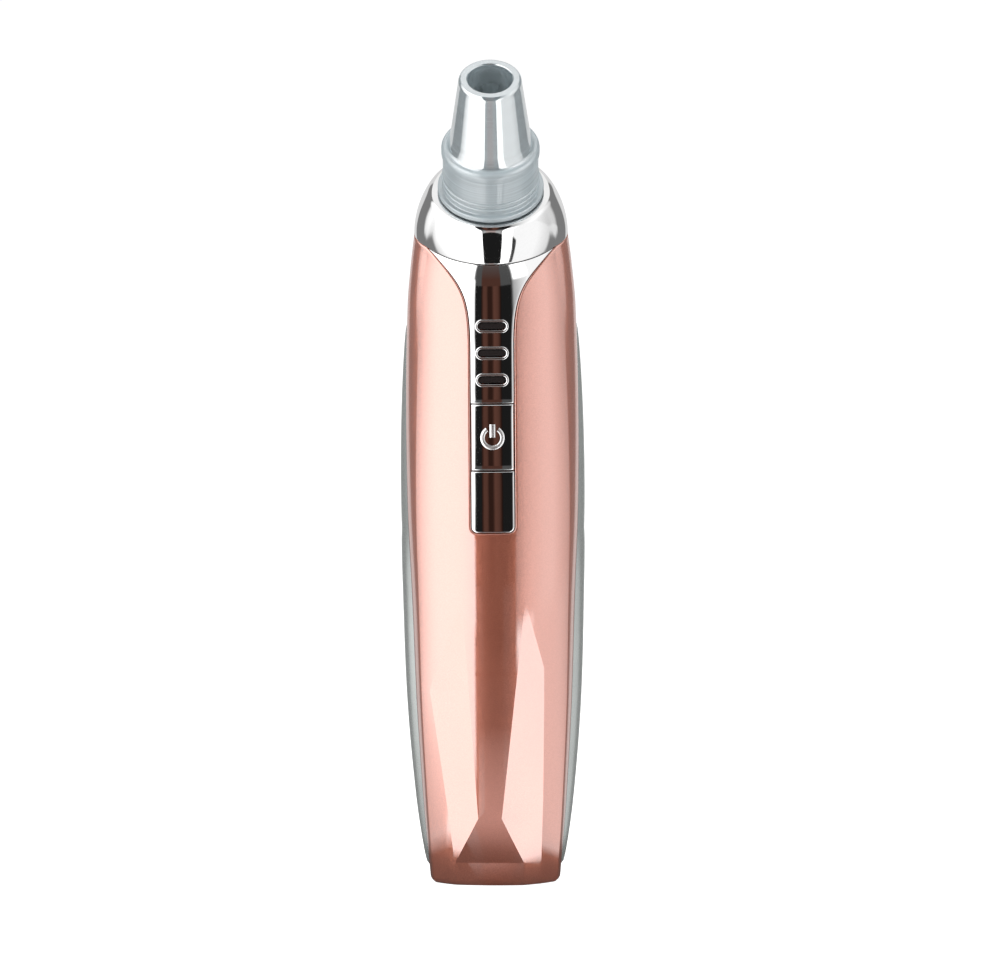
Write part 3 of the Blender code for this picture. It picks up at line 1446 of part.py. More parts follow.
def make_charging(materials):
    """Make the charging socket in the base and the small board that carries it."""
    low = PORT_LIP
    high = low + PORT_HEIGHT
    half = PORT_WIDTH / 2
    rear = PORT_SETBACK + PORT_DEPTH / 2
    front = PORT_SETBACK - PORT_DEPTH / 2
    data = block((-half, half), (front, rear), (low, high))
    socket = finish("charge_socket", data, materials["steel"])
    throat = block(
        around(0.0, half - PORT_WALL),
        (front + PORT_WALL, rear - PORT_WALL),
        (low - FLOOR, high - PORT_WALL),
    )
    boolean(socket, cutter("guide_socket_throat", throat), "DIFFERENCE")
    tongue = block(
        around(0.0, half - 2 * PORT_WALL), around(PORT_SETBACK, TONGUE_THICKNESS / 2),
        (low + PORT_WALL, high - PORT_WALL - SEAM_GAP),
    )
    finish("socket_tongue", tongue, materials["black_plastic"])
    board = block(
        around(0.0, CHARGE_BOARD_HALF_WIDTH),
        (charge_board_front(), charge_board_front() + BOARD_THICKNESS),
        (FLOOR + SEAT_GAP, CHARGE_BOARD_TOP),
    )
    finish("charge_board", board, materials["board"])


def charge_board_front():
    """Return y of the charging board's front face, just before the socket."""
    return PORT_SETBACK - PORT_DEPTH / 2 - SEAM_GAP - BOARD_THICKNESS


def lead_entry():
    """Return the height at which the leads meet the control board, below the motor."""
    return min(BOARD_BOTTOM + LEAD_RADIUS, MOTOR_BOTTOM + 2.2)


def make_leads(materials):
    """Make the insulated leads that join battery, motor, charging board and control board."""
    side = RIB_HALF_WIDTH + 2 * LEAD_RADIUS + SEAM_GAP
    back = board_back() + SEAT_GAP + LEAD_RADIUS
    low, high = CELL_BOTTOM, CELL_BOTTOM + CELL_LENGTH
    charge_front = charge_board_front() - SEAT_GAP - LEAD_RADIUS
    entry = lead_entry()
    tab_top = high + SEAM_GAP + TAB_THICKNESS + SEAT_GAP + LEAD_RADIUS
    tab_low = low - SEAM_GAP - TAB_THICKNESS - SEAT_GAP - LEAD_RADIUS
    y = cell_y()
    hose("battery_lead_red", [
        (0.0, y, tab_top), (0.0, y - CELL_RADIUS / 2, tab_top),
        (0.0, back + LEAD_RADIUS, tab_top + 2 * LEAD_RADIUS),
        (0.0, back, entry), (0.0, back, entry + LEAD_END),
    ], LEAD_RADIUS, materials["red_lead"], LEAD_STEP)
    hose("battery_lead_black", [
        (0.0, y, tab_low), (side / 2, y, tab_low), (side, y - 1.0, low + 3.0),
        (side, y - 2.0, (low + high) / 2), (side, y - 4.0, high), (2 * LEAD_PITCH, back, entry),
        (2 * LEAD_PITCH, back, entry + LEAD_END),
    ], LEAD_RADIUS, materials["black_lead"], LEAD_STEP)
    for sign, colour in ((-1, "red"), (1, "black")):
        start = (sign * (CHARGE_BOARD_HALF_WIDTH - 1.5), charge_front, CHARGE_BOARD_TOP - 4.0)
        reach = side + (3.2 * LEAD_RADIUS if sign > 0 else 0.0)
        hose(f"charge_lead_{colour}", [
            start, (sign * reach, charge_front, low + 3.0), (sign * reach, y + 1.0, (low + high) / 2),
            (sign * reach, y - 3.0, high), (sign * 3 * LEAD_PITCH, back, entry),
            (sign * 3 * LEAD_PITCH, back, entry + LEAD_END),
        ], LEAD_RADIUS, materials[f"{colour}_lead"], LEAD_STEP)
    for sign, colour in ((-1, "red"), (1, "black")):
        foot = MOTOR_BOTTOM - SEAT_GAP - LEAD_RADIUS
        x = sign * 5.0
        hose(f"motor_lead_{colour}", [
            (x, pump_y(), foot), (x, pump_y() - 5.0, foot),
            (sign * LEAD_PITCH, back + 1.0, foot + 0.5),
            (sign * LEAD_PITCH, back, entry), (sign * LEAD_PITCH, back, entry + LEAD_END),
        ], LEAD_RADIUS, materials[f"{colour}_lead"], LEAD_STEP)


def main():
    """Build the whole part."""
    remove_everything()
    materials = make_materials()
    guides = make_guides()
    make_shells(guides, materials)
    make_trims(materials)
    make_strip(guides, materials)
    axis = make_nose_axis()
    make_nose(axis, materials)
    make_suction_head(axis, materials)
    make_air_tube(materials)
    make_motor(materials)
    make_pump(materials)
    make_motor_sleeve(materials)
    make_board(materials)
    make_battery(materials)
    make_charging(materials)
    make_leads(materials)


main()
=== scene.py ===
"""Looks of the pore vacuum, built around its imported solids.

Sizes in the classes are in millimetres unless a name says otherwise, and MM turns them into
metres when a mesh is made. X points right, Y to the back and Z up, as in the solids.
"""

import json
import logging
import math
from dataclasses import dataclass, field
from enum import Enum
from functools import lru_cache, partial
from typing import Callable, Iterable, Sequence

import bmesh
import bpy
from mathutils import Matrix, Vector


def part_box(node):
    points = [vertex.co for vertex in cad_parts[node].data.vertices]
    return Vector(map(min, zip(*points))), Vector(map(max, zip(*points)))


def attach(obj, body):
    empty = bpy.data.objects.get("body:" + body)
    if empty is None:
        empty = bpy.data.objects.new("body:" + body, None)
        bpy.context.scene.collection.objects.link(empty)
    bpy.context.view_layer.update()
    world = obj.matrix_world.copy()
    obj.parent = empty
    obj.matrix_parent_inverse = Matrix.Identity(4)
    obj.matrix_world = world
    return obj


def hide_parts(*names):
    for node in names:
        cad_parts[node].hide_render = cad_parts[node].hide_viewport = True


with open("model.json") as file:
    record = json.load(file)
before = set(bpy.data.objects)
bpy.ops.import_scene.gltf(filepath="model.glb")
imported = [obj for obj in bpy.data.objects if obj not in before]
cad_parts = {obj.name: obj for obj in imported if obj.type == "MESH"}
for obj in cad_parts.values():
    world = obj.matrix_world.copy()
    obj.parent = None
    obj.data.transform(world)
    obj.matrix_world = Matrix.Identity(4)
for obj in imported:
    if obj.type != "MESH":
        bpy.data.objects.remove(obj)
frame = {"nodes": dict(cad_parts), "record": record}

LOG = logging.getLogger("pore_vacuum")
MM = 0.001
Pair = tuple[float, float]
Grid = list[list[Vector]]
Item = bpy.types.Object
Node = bpy.types.Node
Socket = bpy.types.NodeSocket
Outputs = bpy.types.bpy_prop_collection
Feeds = dict[str | int, object]


class Side(Enum):
    """The two sides of the device, seen from the front."""

    LEFT = -1
    RIGHT = 1


class Half(Enum):
    """The two shells that the casing splits into, with the way in which q runs to the split."""

    FRONT = 1
    REAR = -1


# Plain geometry helpers


def through(stations: Sequence[Pair], place: float) -> float:
    """Follow the smooth curve through a row of stations.

    Args:
        stations: (place, value) pairs in rising order.
        place: where the value is wanted.

    Returns:
        The value at that place.
    """
    places = [station[0] for station in stations]
    values = [station[1] for station in stations]
    last = len(stations) - 1
    place = min(max(place, places[0]), places[last])
    index = max(i for i in range(last) if places[i] <= place)

    def slope(i: int) -> float:
        """Return the curve's slope at station i."""
        low, high = max(i - 1, 0), min(i + 1, last)
        return (values[high] - values[low]) / (places[high] - places[low])

    width = places[index + 1] - places[index]
    s = (place - places[index]) / width
    return (
        (1 + 2 * s) * (1 - s) ** 2 * values[index]
        + s * (1 - s) ** 2 * width * slope(index)
        + s * s * (3 - 2 * s) * values[index + 1]
        + s * s * (s - 1) * width * slope(index + 1)
    )


def bisect(function: Callable[[float], float], goal: float, low: float = 0.0, high: float = 1.0) -> float:
    """Find where a rising function reaches a goal.

    Args:
        function: a function that rises between low and high.
        goal: the value to reach.
        low: the lowest place to look at.
        high: the highest place to look at.

    Returns:
        The place where the function is at the goal.
    """
    for _ in range(36):
        middle = (low + high) / 2
        if function(middle) < goal:
            low = middle
        else:
            high = middle
    return (low + high) / 2


def spread(low: float, high: float, count: int) -> list[float]:
    """Return count + 1 evenly spaced numbers from low to high."""
    return [low + (high - low) * i / count for i in range(count + 1)]


def rounding(radius: float, steps: int) -> list[Pair]:
    """Return (distance from the edge, drop) pairs of a rounded edge, from its rim inwards."""
    turns = spread(0.0, math.pi / 2, steps)
    return [(radius * (1 - math.cos(turn)), radius * (1 - math.sin(turn))) for turn in turns]


def arc(centre: Pair, radius: float, start: float, end: float, steps: int) -> list[Pair]:
    """Return the points of a round arc.

    Args:
        centre: the arc's middle.
        radius: its radius.
        start: first angle in degrees.
        end: last angle in degrees.
        steps: how many pieces it has.

    Returns:
        The points, first to last.
    """
    turns = [math.radians(turn) for turn in spread(start, end, steps)]
    return [(centre[0] + radius * math.cos(a), centre[1] + radius * math.sin(a)) for a in turns]


def pill(width: float, height: float, middle: Pair = (0.0, 0.0), steps: int = 12) -> list[Pair]:
    """Return the outline of a slot with round ends that lies along its width.

    Args:
        width: its length over both ends.
        height: its height.
        middle: where its middle is.
        steps: points of each round end.

    Returns:
        The (x, height) points in order.
    """
    reach = (width - height) / 2
    right = arc((middle[0] + reach, middle[1]), height / 2, -90, 90, steps)
    left = arc((middle[0] - reach, middle[1]), height / 2, 90, 270, steps)
    return right + left


def rounded(profile: Sequence[Pair], radius: float, steps: int = 4) -> list[Pair]:
    """Round every corner of a closed outline.

    Args:
        profile: the corners in order.
        radius: the wanted corner radius, made smaller where a side is short.
        steps: pieces in each corner.

    Returns:
        The outline with its corners rounded.
    """
    points: list[Pair] = []
    count = len(profile)
    for i, corner in enumerate(profile):
        here = Vector(corner)
        before, after = Vector(profile[i - 1]) - here, Vector(profile[(i + 1) % count]) - here
        reach = min(radius, 0.45 * before.length, 0.45 * after.length)
        start, end = here + before.normalized() * reach, here + after.normalized() * reach
        for s in spread(0.0, 1.0, steps):
            point = start * (1 - s) ** 2 + here * 2 * s * (1 - s) + end * s * s
            points.append((point.x, point.y))
    return points


def rounded_box(width: float, height: float, middle: Pair, radius: float) -> list[Pair]:
    """Return the outline of a rectangle with round corners."""
    sides = ((-1, -1), (1, -1), (1, 1), (-1, 1))
    return rounded([(middle[0] + x * width / 2, middle[1] + z * height / 2) for x, z in sides], radius)


def rim_drop(inside: float, radius: float) -> float:
    """Return how far a rounded rim lowers the surface at a distance inside its edge.

    Args:
        inside: the distance inside the edge.
        radius: the rim's rounding.

    Returns:
        The drop.
    """
    if inside >= radius:
        return 0.0
    run = radius - max(inside, 0.0)
    return radius - math.sqrt(max(radius ** 2 - run ** 2, 0.0))


def crossing(lead: Callable[[float], float], step: float = 0.04, last: float = 1.4) -> float:
    """Return the q at which a function first rises through zero, looked for in steps.

    Args:
        lead: a function that is negative before the crossing.
        step: how far each look is from the last.
        last: where the search ends.

    Returns:
        The q.
    """
    q = 0.0
    while q < last and lead(q + step) < 0.0:
        q += step
    return bisect(lead, 0.0, q, q + step)


def mirrored(right: list[Vector], left: Sequence[Vector] = ()) -> list[Vector]:
    """Join a right half-row with its own mirror image, or another half's, from the left to the right."""
    return [Vector((-point.x, point.y, point.z)) for point in reversed((left or right)[1:])] + right


def new_item(name: str, data: bpy.types.ID) -> Item:
    """Put a mesh, a lamp or a camera in the scene."""
    item = bpy.data.objects.new(name, data)
    bpy.context.scene.collection.objects.link(item)
    return item


def mesh_piece(
    name: str, points: Iterable[Vector], faces: Iterable[Sequence[int]], sharp: float = 35.0,
) -> Item:
    """Make a smooth-shaded object of one mesh.

    Args:
        name: the piece's name.
        points: places in millimetres.
        faces: rows of point numbers.
        sharp: edges that turn more than this many degrees stay sharp.

    Returns:
        The new object, at the origin.
    """
    mesh = bpy.data.meshes.new(name)
    mesh.from_pydata([tuple(Vector(point) * MM) for point in points], [], [list(face) for face in faces])
    item = new_item(name, mesh)
    clean(item, sharp)
    return item


def clean(item: Item, sharp: float = 35.0, gap: float = 1e-7) -> None:
    """Merge a piece's doubled points, turn its faces outwards and shade it smooth.

    Args:
        item: the piece.
        sharp: edges that turn more than this many degrees stay sharp.
        gap: points closer than this, in metres, become one.
    """
    data = bmesh.new()
    data.from_mesh(item.data)
    bmesh.ops.remove_doubles(data, verts=data.verts, dist=gap)
    bmesh.ops.dissolve_degenerate(data, edges=data.edges, dist=gap)
    bmesh.ops.recalc_face_normals(data, faces=data.faces)
    if data.calc_volume(signed=True) < 0:
        bmesh.ops.reverse_faces(data, faces=data.faces)
    data.to_mesh(item.data)
    data.free()
    item.data.shade_smooth()
    item.data.set_sharp_from_angle(angle=math.radians(sharp))


def grid_faces(rows: int, columns: int, start: int, wrap: bool, flip: bool = False) -> list[tuple[int, ...]]:
    """Return the faces of a grid of points, numbered row by row from start."""
    faces = []
    for i in range(rows - 1):
        for j in range(columns if wrap else columns - 1):
            k = (j + 1) % columns
            a, b = start + i * columns + j, start + i * columns + k
            c, d = b + columns, a + columns
            faces.append((a, d, c, b) if flip else (a, b, c, d))
    return faces


def slab(name: str, outer: Grid, inner: Grid, sharp: float = 35.0) -> Item:
    """Close the room between an outer and an inner grid of points.

    Args:
        name: the piece's name.
        outer: rows of points on the outside.
        inner: the same rows on the inside.
        sharp: edges that turn more than this many degrees stay sharp.

    Returns:
        The closed piece.
    """
    rows, columns = len(outer), len(outer[0])
    size = rows * columns
    faces = grid_faces(rows, columns, 0, False) + grid_faces(rows, columns, size, False, flip=True)
    rim = list(range(columns)) + [i * columns + columns - 1 for i in range(1, rows)]
    rim += [(rows - 1) * columns + j for j in range(columns - 2, -1, -1)]
    rim += [i * columns for i in range(rows - 2, 0, -1)]
    for a, b in zip(rim, rim[1:] + rim[:1]):
        faces.append((a, a + size, b + size, b))
    points = [point for row in outer for point in row] + [point for row in inner for point in row]
    return mesh_piece(name, points, faces, sharp)


def rod(name: str, rings: Grid, sharp: float = 35.0) -> Item:
    """Run a skin through closed rings of points, with a flat cap at each end."""
    rows, columns = len(rings), len(rings[0])
    faces = grid_faces(rows, columns, 0, True)
    faces.append(tuple(range(columns - 1, -1, -1)))
    faces.append(tuple((rows - 1) * columns + j for j in range(columns)))
    return mesh_piece(name, [point for ring in rings for point in ring], faces, sharp)


def loop_of_rings(name: str, rings: Grid, sharp: float = 35.0) -> Item:
    """Run a skin through closed rings of points, and from the last ring back to the first."""
    rows, columns = len(rings), len(rings[0])
    faces = grid_faces(rows + 1, columns, 0, True)
    total = rows * columns
    faces = [tuple(index % total for index in face) for face in faces]
    return mesh_piece(name, [point for ring in rings for point in ring], faces, sharp)


def prism(name: str, outline: Sequence[Pair], low: float, high: float) -> Item:
    """Pull an outline that is drawn in X and Z along Y, from low to high."""
    return rod(name, [[Vector((x, y, z)) for x, z in outline] for y in (low, high)], sharp=20.0)


def carve(item: Item, *cutters: Item) -> None:
    """Cut other closed meshes out of a piece, then remove them."""
    for other in cutters:
        modifier = item.modifiers.new("cut", "BOOLEAN")
        modifier.operation = "DIFFERENCE"
        modifier.solver = "EXACT"
        modifier.object = other
    bake(item)
    for other in cutters:
        bpy.data.objects.remove(other, do_unlink=True)


def bake(item: Item) -> None:
    """Replace a piece's mesh by what its modifiers make of it, and remove them."""
    graph = bpy.context.evaluated_depsgraph_get()
    mesh = bpy.data.meshes.new_from_object(item.evaluated_get(graph), depsgraph=graph)
    mesh.name = item.name
    item.modifiers.clear()
    item.data = mesh


def joined(name: str, items: Sequence[Item], sharp: float = 35.0) -> Item:
    """Make one piece of several."""
    data = bmesh.new()
    for item in items:
        data.from_mesh(item.data)
        bpy.data.objects.remove(item, do_unlink=True)
    mesh = bpy.data.meshes.new(name)
    data.to_mesh(mesh)
    data.free()
    mesh.shade_smooth()
    mesh.set_sharp_from_angle(angle=math.radians(sharp))
    return new_item(name, mesh)


# The device's form, the same that the solids have


@dataclass(frozen=True, eq=False)
class BodyForm:
    """The casing's outer form, as a section that changes along a bent centre line."""

    seam_height: float = 151.0
    seam_setback: float = -2.1
    seam_tilt: float = math.radians(30.0)
    spine_rise: float = 50.0
    spine_lead: float = 24.0
    side_stations: tuple[Pair, ...] = (
        (0.0, 14.9), (0.058, 15.7), (0.12, 16.5), (0.27, 17.9), (0.43, 18.75), (0.58, 19.65),
        (0.733, 19.8), (0.887, 19.25), (0.951, 18.4), (1.0, 17.5),
    )
    crease_stations: tuple[Pair, ...] = (
        (0.0, 0.7), (0.12, 1.0), (0.43, 1.55), (0.58, 2.0), (0.887, 2.9), (1.0, 3.1),
    )
    front_stations: tuple[Pair, ...] = (
        (0.0, 11.0), (0.13, 14.3), (0.3, 16.4), (0.5, 17.4), (0.75, 17.6), (0.88, 16.9), (1.0, 14.0),
    )
    back_stations: tuple[Pair, ...] = (
        (0.0, 11.0), (0.13, 14.0), (0.33, 16.5), (0.57, 17.0), (0.78, 16.3), (1.0, 14.0),
    )
    crease_depth_share: float = 0.52
    side_lead: float = 1.5
    side_bend: float = 0.55
    back_power: float = 2.2
    base_round: float = 1.2
    split_depth: float = 2.2
    wall: float = 2.8
    floor: float = 3.0
    seam_gap: float = 0.2

    def spine(self, t: float) -> tuple[float, float, float]:
        """Return (y, z, tilt) of the centre line, from the base (0) to the nose seam (1)."""
        high_y = self.seam_setback + self.spine_lead * math.sin(self.seam_tilt)
        high_z = self.seam_height - self.spine_lead * math.cos(self.seam_tilt)
        b1, b2, b3 = 3 * t * (1 - t) ** 2, 3 * t * t * (1 - t), t ** 3
        y = b2 * high_y + b3 * self.seam_setback
        z = b1 * self.spine_rise + b2 * high_z + b3 * self.seam_height
        return y, z, self.seam_tilt * t ** 3

    @lru_cache(maxsize=None)
    def at_height(self, z: float) -> float:
        """Return the t at which the centre line is at height z."""
        return bisect(lambda t: self.spine(t)[1], z)

    @lru_cache(maxsize=None)
    def sizes(self, t: float) -> tuple[float, float, float, float, float]:
        """Return (side, crease, front, back, crease depth) of the section at t."""
        share = self.spine(t)[1] / self.seam_height
        side = through(self.side_stations, share)
        crease = side - through(self.crease_stations, share)
        front = through(self.front_stations, share)
        back = through(self.back_stations, share)
        return side, crease, front, back, self.crease_depth_share * front

    def profile(self, t: float, q: float) -> Pair:
        """Find a point of the section's right half.

        Args:
            t: the section's place along the centre line.
            q: 0 at the front middle, 1 at the crease, 2 at the widest line, 3 at the back
                middle. A negative q lies on the left half, and past 3 it comes round again.

        Returns:
            (x, depth) in the section's own plane.
        """
        if q < 0.0:
            x, depth = self.profile(t, -q)
            return -x, depth
        if q > 3.0:
            x, depth = self.profile(t, 6.0 - q)
            return -x, depth
        side, crease, front, back, crease_depth = self.sizes(t)
        if q <= 1.0:
            drop = front - crease_depth
            radius = (crease ** 2 + drop ** 2) / (2 * drop)
            x = crease * q
            return x, -front + radius - math.sqrt(radius ** 2 - x ** 2)
        if q <= 2.0:
            s = q - 1.0
            bend = -self.side_lead - self.side_bend * (crease_depth - self.side_lead)
            x = (1 - s) ** 2 * crease + (2 * s * (1 - s) + s * s) * side
            depth = -((1 - s) ** 2) * crease_depth + 2 * s * (1 - s) * bend - s * s * self.side_lead
            return x, depth
        turn = (q - 2.0) * math.pi / 2
        x = side * max(math.cos(turn), 0.0) ** (2 / self.back_power)
        return x, -self.side_lead + (back + self.side_lead) * math.sin(turn) ** (2 / self.back_power)

    def reach(self, t: float, q: float, distance: float) -> float:
        """Return how far q has to go at (t, q) to travel a distance over the surface."""
        step = 0.01
        low, high = self.profile(t, q - step), self.profile(t, q + step)
        return distance * 2 * step / max(math.hypot(high[0] - low[0], high[1] - low[1]), 1e-6)

    def inset(self, t: float, q: float, drop: float) -> Pair:
        """Return the section's point at q, moved into the body by the drop."""
        x, depth = self.profile(t, q)
        if drop == 0.0:
            return x, depth
        step = 0.02
        low, high = self.profile(t, q - step), self.profile(t, q + step)
        run = Vector((high[0] - low[0], high[1] - low[1])).normalized()
        return x - run.y * drop, depth + run.x * drop

    def placed(self, t: float, x: float, depth: float) -> Vector:
        """Return the point of the section at t that lies at (x, depth) in its plane."""
        y, z, tilt = self.spine(t)
        return Vector((x, y + depth * math.cos(tilt), z + depth * math.sin(tilt)))

    def point(self, t: float, q: float, drop: float = 0.0) -> Vector:
        """Return the surface's point at (t, q), moved into the body by the drop."""
        return self.placed(t, *self.inset(t, q, drop))

    @lru_cache(maxsize=None)
    def front_t(self, x: float, z: float) -> float:
        """Return the t of the front face's point at (x, z)."""
        return bisect(lambda t: self.point(t, x / self.sizes(t)[1]).z, z)

    def front_point(self, x: float, z: float, drop: float = 0.0) -> Vector:
        """Return the front face's point at (x, z), moved into the body by the drop."""
        t = self.front_t(round(x, 6), round(z, 6))
        return self.point(t, x / self.sizes(t)[1], drop)

    def back_width(self, t: float, depth: float) -> float:
        """Return the half-width of the body behind its widest line, at one depth."""
        side, _crease, _front, back, _crease_depth = self.sizes(t)
        share = min(max((depth + self.side_lead) / (back + self.side_lead), 0.0), 1.0)
        return side * (1 - share ** self.back_power) ** (1 / self.back_power)

    def q_at_depth(self, t: float, depth: float) -> float:
        """Return the q of the side's point at one depth."""
        return bisect(lambda q: self.profile(t, q)[1], depth, 1.0, 3.0)


@dataclass(frozen=True, eq=False)
class BandForm:
    """The silver crescent over the split on each side."""

    bottom: float = 2.6
    top: float = 128.0
    width: float = 8.5
    bulge: float = 2.0
    depth: float = 1.0
    end_width: float = 1.2
    end_bulge: float = 0.35
    swell_power: float = 0.6
    low_power: float = 0.3
    low_part: float = 0.62
    low_bulge: float = 0.6
    lead_share: float = 0.45

    def swell(self, height: float) -> float:
        """Return how full the crescent is at one height, from 0 at its ends to 1."""
        share = min(max((height - self.bottom) / (self.top - self.bottom), 0.0), 1.0)
        power = self.swell_power if share > 0.5 else self.low_power
        return math.sin(math.pi * share) ** power

    def extra(self, height: float) -> float:
        """Return how much further the crescent stands out along its lower half."""
        share = (height - self.bottom) / (self.top - self.bottom) / self.low_part
        return self.low_bulge * math.sqrt(math.sin(math.pi * min(max(share, 0.0), 1.0)))

    def span(self, height: float, split: float) -> Pair:
        """Return the (front, rear) depths of the crescent's edges at one height."""
        width = self.end_width + (self.width - self.end_width) * self.swell(height)
        return split - self.lead_share * width, split + (1 - self.lead_share) * width


@dataclass(frozen=True, eq=False)
class StripForm:
    """The chrome face down the middle of the front, seen from the front."""

    half_width: float = 4.95
    bottom: float = 82.8
    corner: float = 1.3
    shoulder_start: float = 125.2
    shoulder_reach: float = 18.3
    shoulder_top: float = 151.8
    top_slope: float = 3.0
    pull_low: float = 15.5
    pull_out: float = 3.6
    pull_top: float = 11.7
    thickness: float = 1.5
    pocket: float = 1.8
    key_bottom: float = 97.0
    key_height: float = 15.2
    key_thickness: float = 1.0
    window_first: float = 117.8
    window_pitch: float = 6.15
    window_width: float = 6.6
    window_height: float = 2.0
    bezel: float = 0.45
    bezel_rise: float = 0.3

    @lru_cache(maxsize=None)
    def shoulder(self) -> tuple[Pair, ...]:
        """Return the fine (x, z) points of the right shoulder curve."""
        stops = (
            (self.half_width, self.shoulder_start),
            (self.half_width, self.shoulder_start + self.pull_low),
            (self.half_width + self.pull_out, self.shoulder_top - self.pull_top),
            (self.shoulder_reach, self.shoulder_top),
        )
        points = []
        for s in spread(0.0, 1.0, 80):
            weights = ((1 - s) ** 3, 3 * s * (1 - s) ** 2, 3 * s * s * (1 - s), s ** 3)
            points.append((
                sum(w * stop[0] for w, stop in zip(weights, stops)),
                sum(w * stop[1] for w, stop in zip(weights, stops)),
            ))
        return tuple(points)

    def shoulder_edge(self, z: float) -> Pair:
        """Return (x, slope) of the right edge at a height above the bottom corner."""
        points = self.shoulder()
        if z <= points[0][1]:
            return self.half_width, 0.0
        for (x0, z0), (x1, z1) in zip(points, points[1:]):
            if z <= z1:
                slope = (x1 - x0) / (z1 - z0)
                return x0 + slope * (z - z0), slope
        return self.shoulder_reach + (z - self.shoulder_top) * self.top_slope, self.top_slope

    def edge(self, z: float, grow: float = 0.0) -> float:
        """Return x of the strip's right edge at height z, moved outwards by grow."""
        rise = self.bottom + self.corner - z
        if rise > 0.0:
            reach = max(self.corner + grow, 0.0)
            return self.half_width - self.corner + math.sqrt(max(reach ** 2 - rise ** 2, 0.0))
        x, slope = self.shoulder_edge(z)
        return x + grow * math.hypot(1.0, slope)

    def distance(self, x: float, z: float) -> float:
        """Return how far outside the strip a point is, seen from the front."""
        rise = self.bottom + self.corner - z
        if rise > 0.0:
            side = x - (self.half_width - self.corner)
            if side <= 0.0:
                return self.bottom - z
            return math.hypot(side, rise) - self.corner
        edge, slope = self.shoulder_edge(z)
        return (x - edge) / math.hypot(1.0, slope)

    def windows(self) -> list[float]:
        """Return the heights of the three light windows, lowest first."""
        return [self.window_first + i * self.window_pitch for i in range(3)]

    def key_middle(self) -> float:
        """Return the height of the power key's middle."""
        return self.key_bottom + self.key_height / 2


@dataclass(frozen=True, eq=False)
class NoseForm:
    """The nose's axis and the sizes of what sits on it."""

    tilt: float = math.radians(35.0)
    length: float = 11.8
    radius: float = 13.3
    wall: float = 2.0
    collar_radius: float = 10.8
    collar_wall: float = 1.4
    collar_height: float = 13.4
    flange_radius: float = 12.0
    flange_height: float = 1.6
    ring: float = 0.3
    cone_radius: float = 9.4
    tip_radius: float = 7.0
    tip_height: float = 32.62
    mouth_radius: float = 5.05
    cone_bore: float = 6.4
    holder_wall: float = 2.4
    holder_height: float = 9.0
    holder_flange: float = 2.2
    holder_flange_height: float = 2.0
    holder_tail: float = 6.0
    filter_thickness: float = 3.0
    filter_seat: float = 3.0
    seal_width: float = 2.0
    seal_centre: float = 5.0
    seal_depth: float = 0.9
    duct_radius: float = 1.2
    barb_radius: float = 1.9
    seat_gap: float = 0.3
    run_gap: float = 0.5

    def seat(self, form: BodyForm) -> Pair:
        """Return (y, z) of the middle of the seat that the suction head stands on."""
        return (
            form.seam_setback - self.length * math.sin(self.tilt),
            form.seam_height + self.length * math.cos(self.tilt),
        )

    def frame(self, form: BodyForm) -> Matrix:
        """Return the matrix whose Z is the nose axis and whose origin is the seat, in metres."""
        y, z = self.seat(form)
        return Matrix.Translation((0.0, y * MM, z * MM)) @ Matrix.Rotation(self.tilt, 4, "X")

    def seat_reach(self, form: BodyForm) -> float:
        """Return how far along the nose's axis the seat is from the origin, in metres."""
        y, z = self.seat(form)
        return (z * math.cos(self.tilt) - y * math.sin(self.tilt)) * MM

    def collar_bore(self) -> float:
        """Return the inside radius of the suction head's collar."""
        return self.collar_radius - self.collar_wall

    def holder_radius(self) -> float:
        """Return the outside radius of the plug that the head slips over."""
        return self.collar_bore() - self.run_gap


COLLAR_TOP = NoseForm().seat_reach(BodyForm()) + NoseForm().collar_height * MM


# Finishes


def new_material(name: str) -> tuple[bpy.types.Material, "Canvas"]:
    """Return an empty material and its canvas."""
    made = bpy.data.materials.new(name)
    made.use_nodes = True
    return made, Canvas(made.node_tree)


